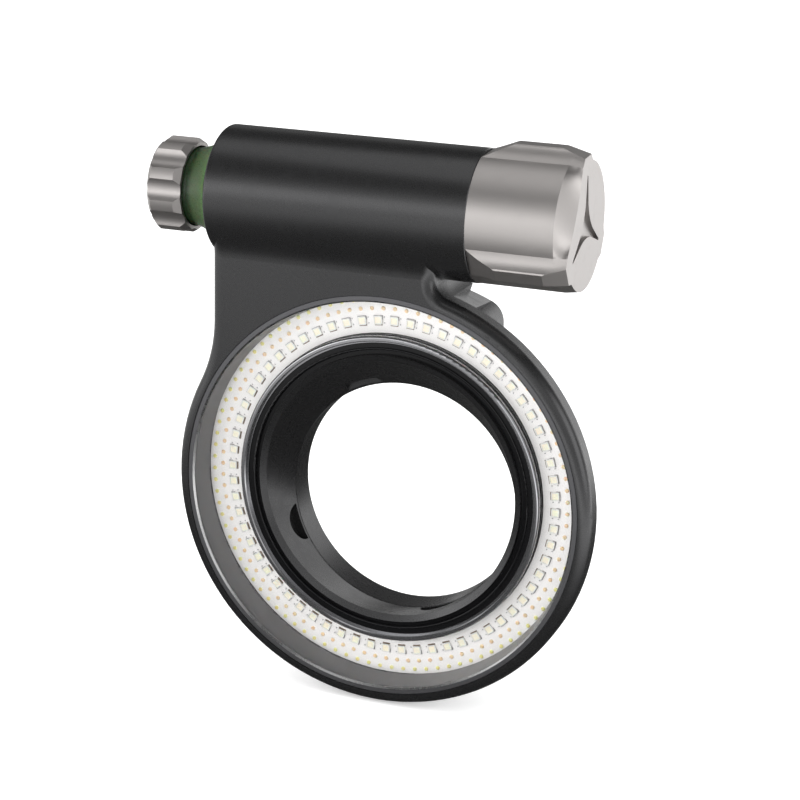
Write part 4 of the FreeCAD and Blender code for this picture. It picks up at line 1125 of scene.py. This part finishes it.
def screwed(section: Object, rise: float, turns: float, steps: int) -> None:
    """Fill a section and screw it about the Z axis.

    Args:
        section: The closed section in the XZ plane, active and in object mode.
        rise: How far it rises over all its turns.
        turns: How many turns it makes.
        steps: How many steps there are in a turn.
    """
    with editing():
        bpy.ops.mesh.select_all(action="SELECT")
        bpy.ops.mesh.edge_face_add()
    screw = section.modifiers.new("screw", "SCREW")
    screw.angle = 2 * math.pi * turns
    screw.screw_offset = rise
    screw.steps = int(steps * turns)
    screw.render_steps = screw.steps
    screw.use_merge_vertices = False
    bpy.ops.object.modifier_apply(modifier=screw.name)
    tidy_normals(section)


@dataclass
class ThreadRidge:
    """One helical thread ridge, modelled along Z and then laid on its axis."""

    name: str
    crest: float
    root: float
    pitch: float
    turns: float
    fill: float = 0.94
    steps: int = 96

    def build(self) -> Object:
        """Screw a thread section up the axis.

        Returns:
            A closed ridge that starts at the origin's plane and rises along Z.
        """
        ridge = add(self.name, bpy.ops.mesh.primitive_circle_add, vertices=4, fill_type="NOTHING")
        flat = self.pitch / 8
        low = self.root - flat
        section = [(low, 0.0), (self.crest, self.pitch / 2 - flat), (self.crest, self.pitch / 2 + flat),
                   (low, self.pitch)]
        for vertex, (radius, rise) in zip(ridge.data.vertices, section):
            vertex.co = (radius, 0.0, rise * self.fill)
        screwed(ridge, self.pitch * self.turns, self.turns, self.steps)
        smooth(ridge)
        return ridge


def copy_of_node(name: str, new_name: str, weld: float = 0.0005 * MM) -> Object:
    """Copy a CAD node into a free object with welded points and plain normals.

    Args:
        name: The CAD node.
        new_name: The copy's name.
        weld: How close points are to be welded.

    Returns:
        The copy, with the node's material and its place in its mesh.
    """
    source = frame["nodes"][name]
    copy = source.copy()
    copy.data = source.data.copy()
    copy.parent = None
    bpy.context.scene.collection.objects.link(copy)
    copy.matrix_world = source.matrix_world
    start(copy, new_name)
    bake()
    with editing():
        bpy.ops.mesh.select_all(action="SELECT")
        bpy.ops.mesh.remove_doubles(threshold=weld)
    bpy.ops.mesh.customdata_custom_splitnormals_clear()
    return copy


@dataclass
class LensThread:
    """Lens adapter with a real thread on its stub."""

    crest: float = 33.5 * MM
    root: float = 33.04 * MM
    pitch: float = 0.75 * MM
    turns: float = 3.7
    start_at: float = 0.35 * MM
    near: float = 0.1 * MM

    def build(self) -> Object:
        """Thin the stub to the thread's root and lay the ridge on it.

        Returns:
            The threaded adapter.
        """
        body = copy_of_node("lens_adapter", "threaded_adapter")
        pick(body, Element.VERTEX, lambda vertex: vertex.co.y > -self.near
             and self.root < math.hypot(vertex.co.x, vertex.co.z) < self.crest + self.near)
        shrink = self.root / self.crest
        with editing():
            bpy.ops.transform.resize(value=(shrink, 1.0, shrink), center_override=(0.0, 0.0, 0.0))
        smooth(body)
        ridge = ThreadRidge("lens_thread", self.crest, self.root, self.pitch, self.turns).build()
        ridge.rotation_euler = (-QUARTER, 0.0, 0.0)
        ridge.location = (0.0, self.start_at, 0.0)
        bake()
        paint(ridge, "anodised_black")
        whole = join_all([body, ridge], "threaded_adapter")
        return settle(whole, "threaded_adapter", "light_body", "anodised_black", "lens_adapter")


@dataclass
class CoilSpring:
    """Wire spring on the barrel's axis; one that is named with a joint that presses it gets a mesh of its own.
    """

    node: str
    body: str
    mean: float
    turns: float
    pressed_by: str = ""
    stroke: float = 0.0
    wire: float = 0.35 * MM
    sides: int = 10
    steps: int = 48

    def build(self) -> Object:
        """Screw the wire along the axis between the ends of its CAD sleeve.

        Returns:
            The spring.
        """
        low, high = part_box(self.node)
        length = high.x - low.x
        coil = add(self.node + "_coil", bpy.ops.mesh.primitive_circle_add, vertices=self.sides,
                   radius=self.wire, fill_type="NOTHING", rotation=(QUARTER, 0.0, 0.0),
                   location=(self.mean, 0.0, self.wire))
        bake()
        screwed(coil, length - 2 * self.wire, self.turns, self.steps)
        smooth(coil, degrees=60.0)
        coil.rotation_euler = (0.0, QUARTER, 0.0)
        coil.location = (low.x, *BARREL_AXIS[1:])
        paint(coil, "stainless")
        settle(coil, self.node + "_coil", self.body, "stainless", self.node)
        if self.pressed_by:
            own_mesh(coil)
        return coil


@dataclass
class CapSeals:
    """Round rubber rings on the cap's plug, squeezed between groove and bore."""

    half: float = 0.75 * MM
    inner: float = 12.9 * MM
    outer: float = 14.48 * MM
    spots: tuple[float, float] = (18.2 * MM, 20.8 * MM)

    def build(self) -> Object:
        """Model one ring and its copy.

        Returns:
            Both rings as one object.
        """
        rings = []
        squeeze = (self.outer - self.inner) / 2
        for spot in self.spots:
            ring = add("cap_seal", bpy.ops.mesh.primitive_torus_add, major_radius=(self.outer + self.inner) / 2,
                       minor_radius=squeeze, major_segments=96, minor_segments=16,
                       rotation=(0.0, QUARTER, 0.0), location=(spot, *BARREL_AXIS[1:]))
            bake()
            for vertex in ring.data.vertices:
                vertex.co.x = spot + max(-self.half, min(self.half, vertex.co.x - spot))
            bpy.ops.object.shade_smooth()
            paint(ring, "seal_rubber")
            rings.append(ring)
        both = join_all(rings, "cap_o_rings")
        return settle(both, "cap_o_rings", "screw_cap", "seal_rubber", "cap_seals")


def main() -> None:
    """Build the pieces in order, then the stage."""
    logging.basicConfig(level=logging.INFO, format="%(name)s: %(message)s")
    FrameDresser().dress()
    WindowGlass().build()
    RetainingRing().build()
    SpotLamps().build()
    DotLamps("leds_warm", "led_warm", radius=50.0 * MM).build()
    DotLamps("leds_flood", "led_flood", radius=52.5 * MM, turned_by=0.5).build()
    LensThread().build()
    CapSeals().build()
    CoilSpring("knob_spring", "light_body", mean=4.4 * MM, turns=4.0,
               pressed_by="knob_push", stroke=1.0 * MM).build()
    CoilSpring("cap_contact_spring", "cap_contacts", mean=4.15 * MM, turns=2.5).build()
    Stage().build()


if __name__ == "__main__":
    main()
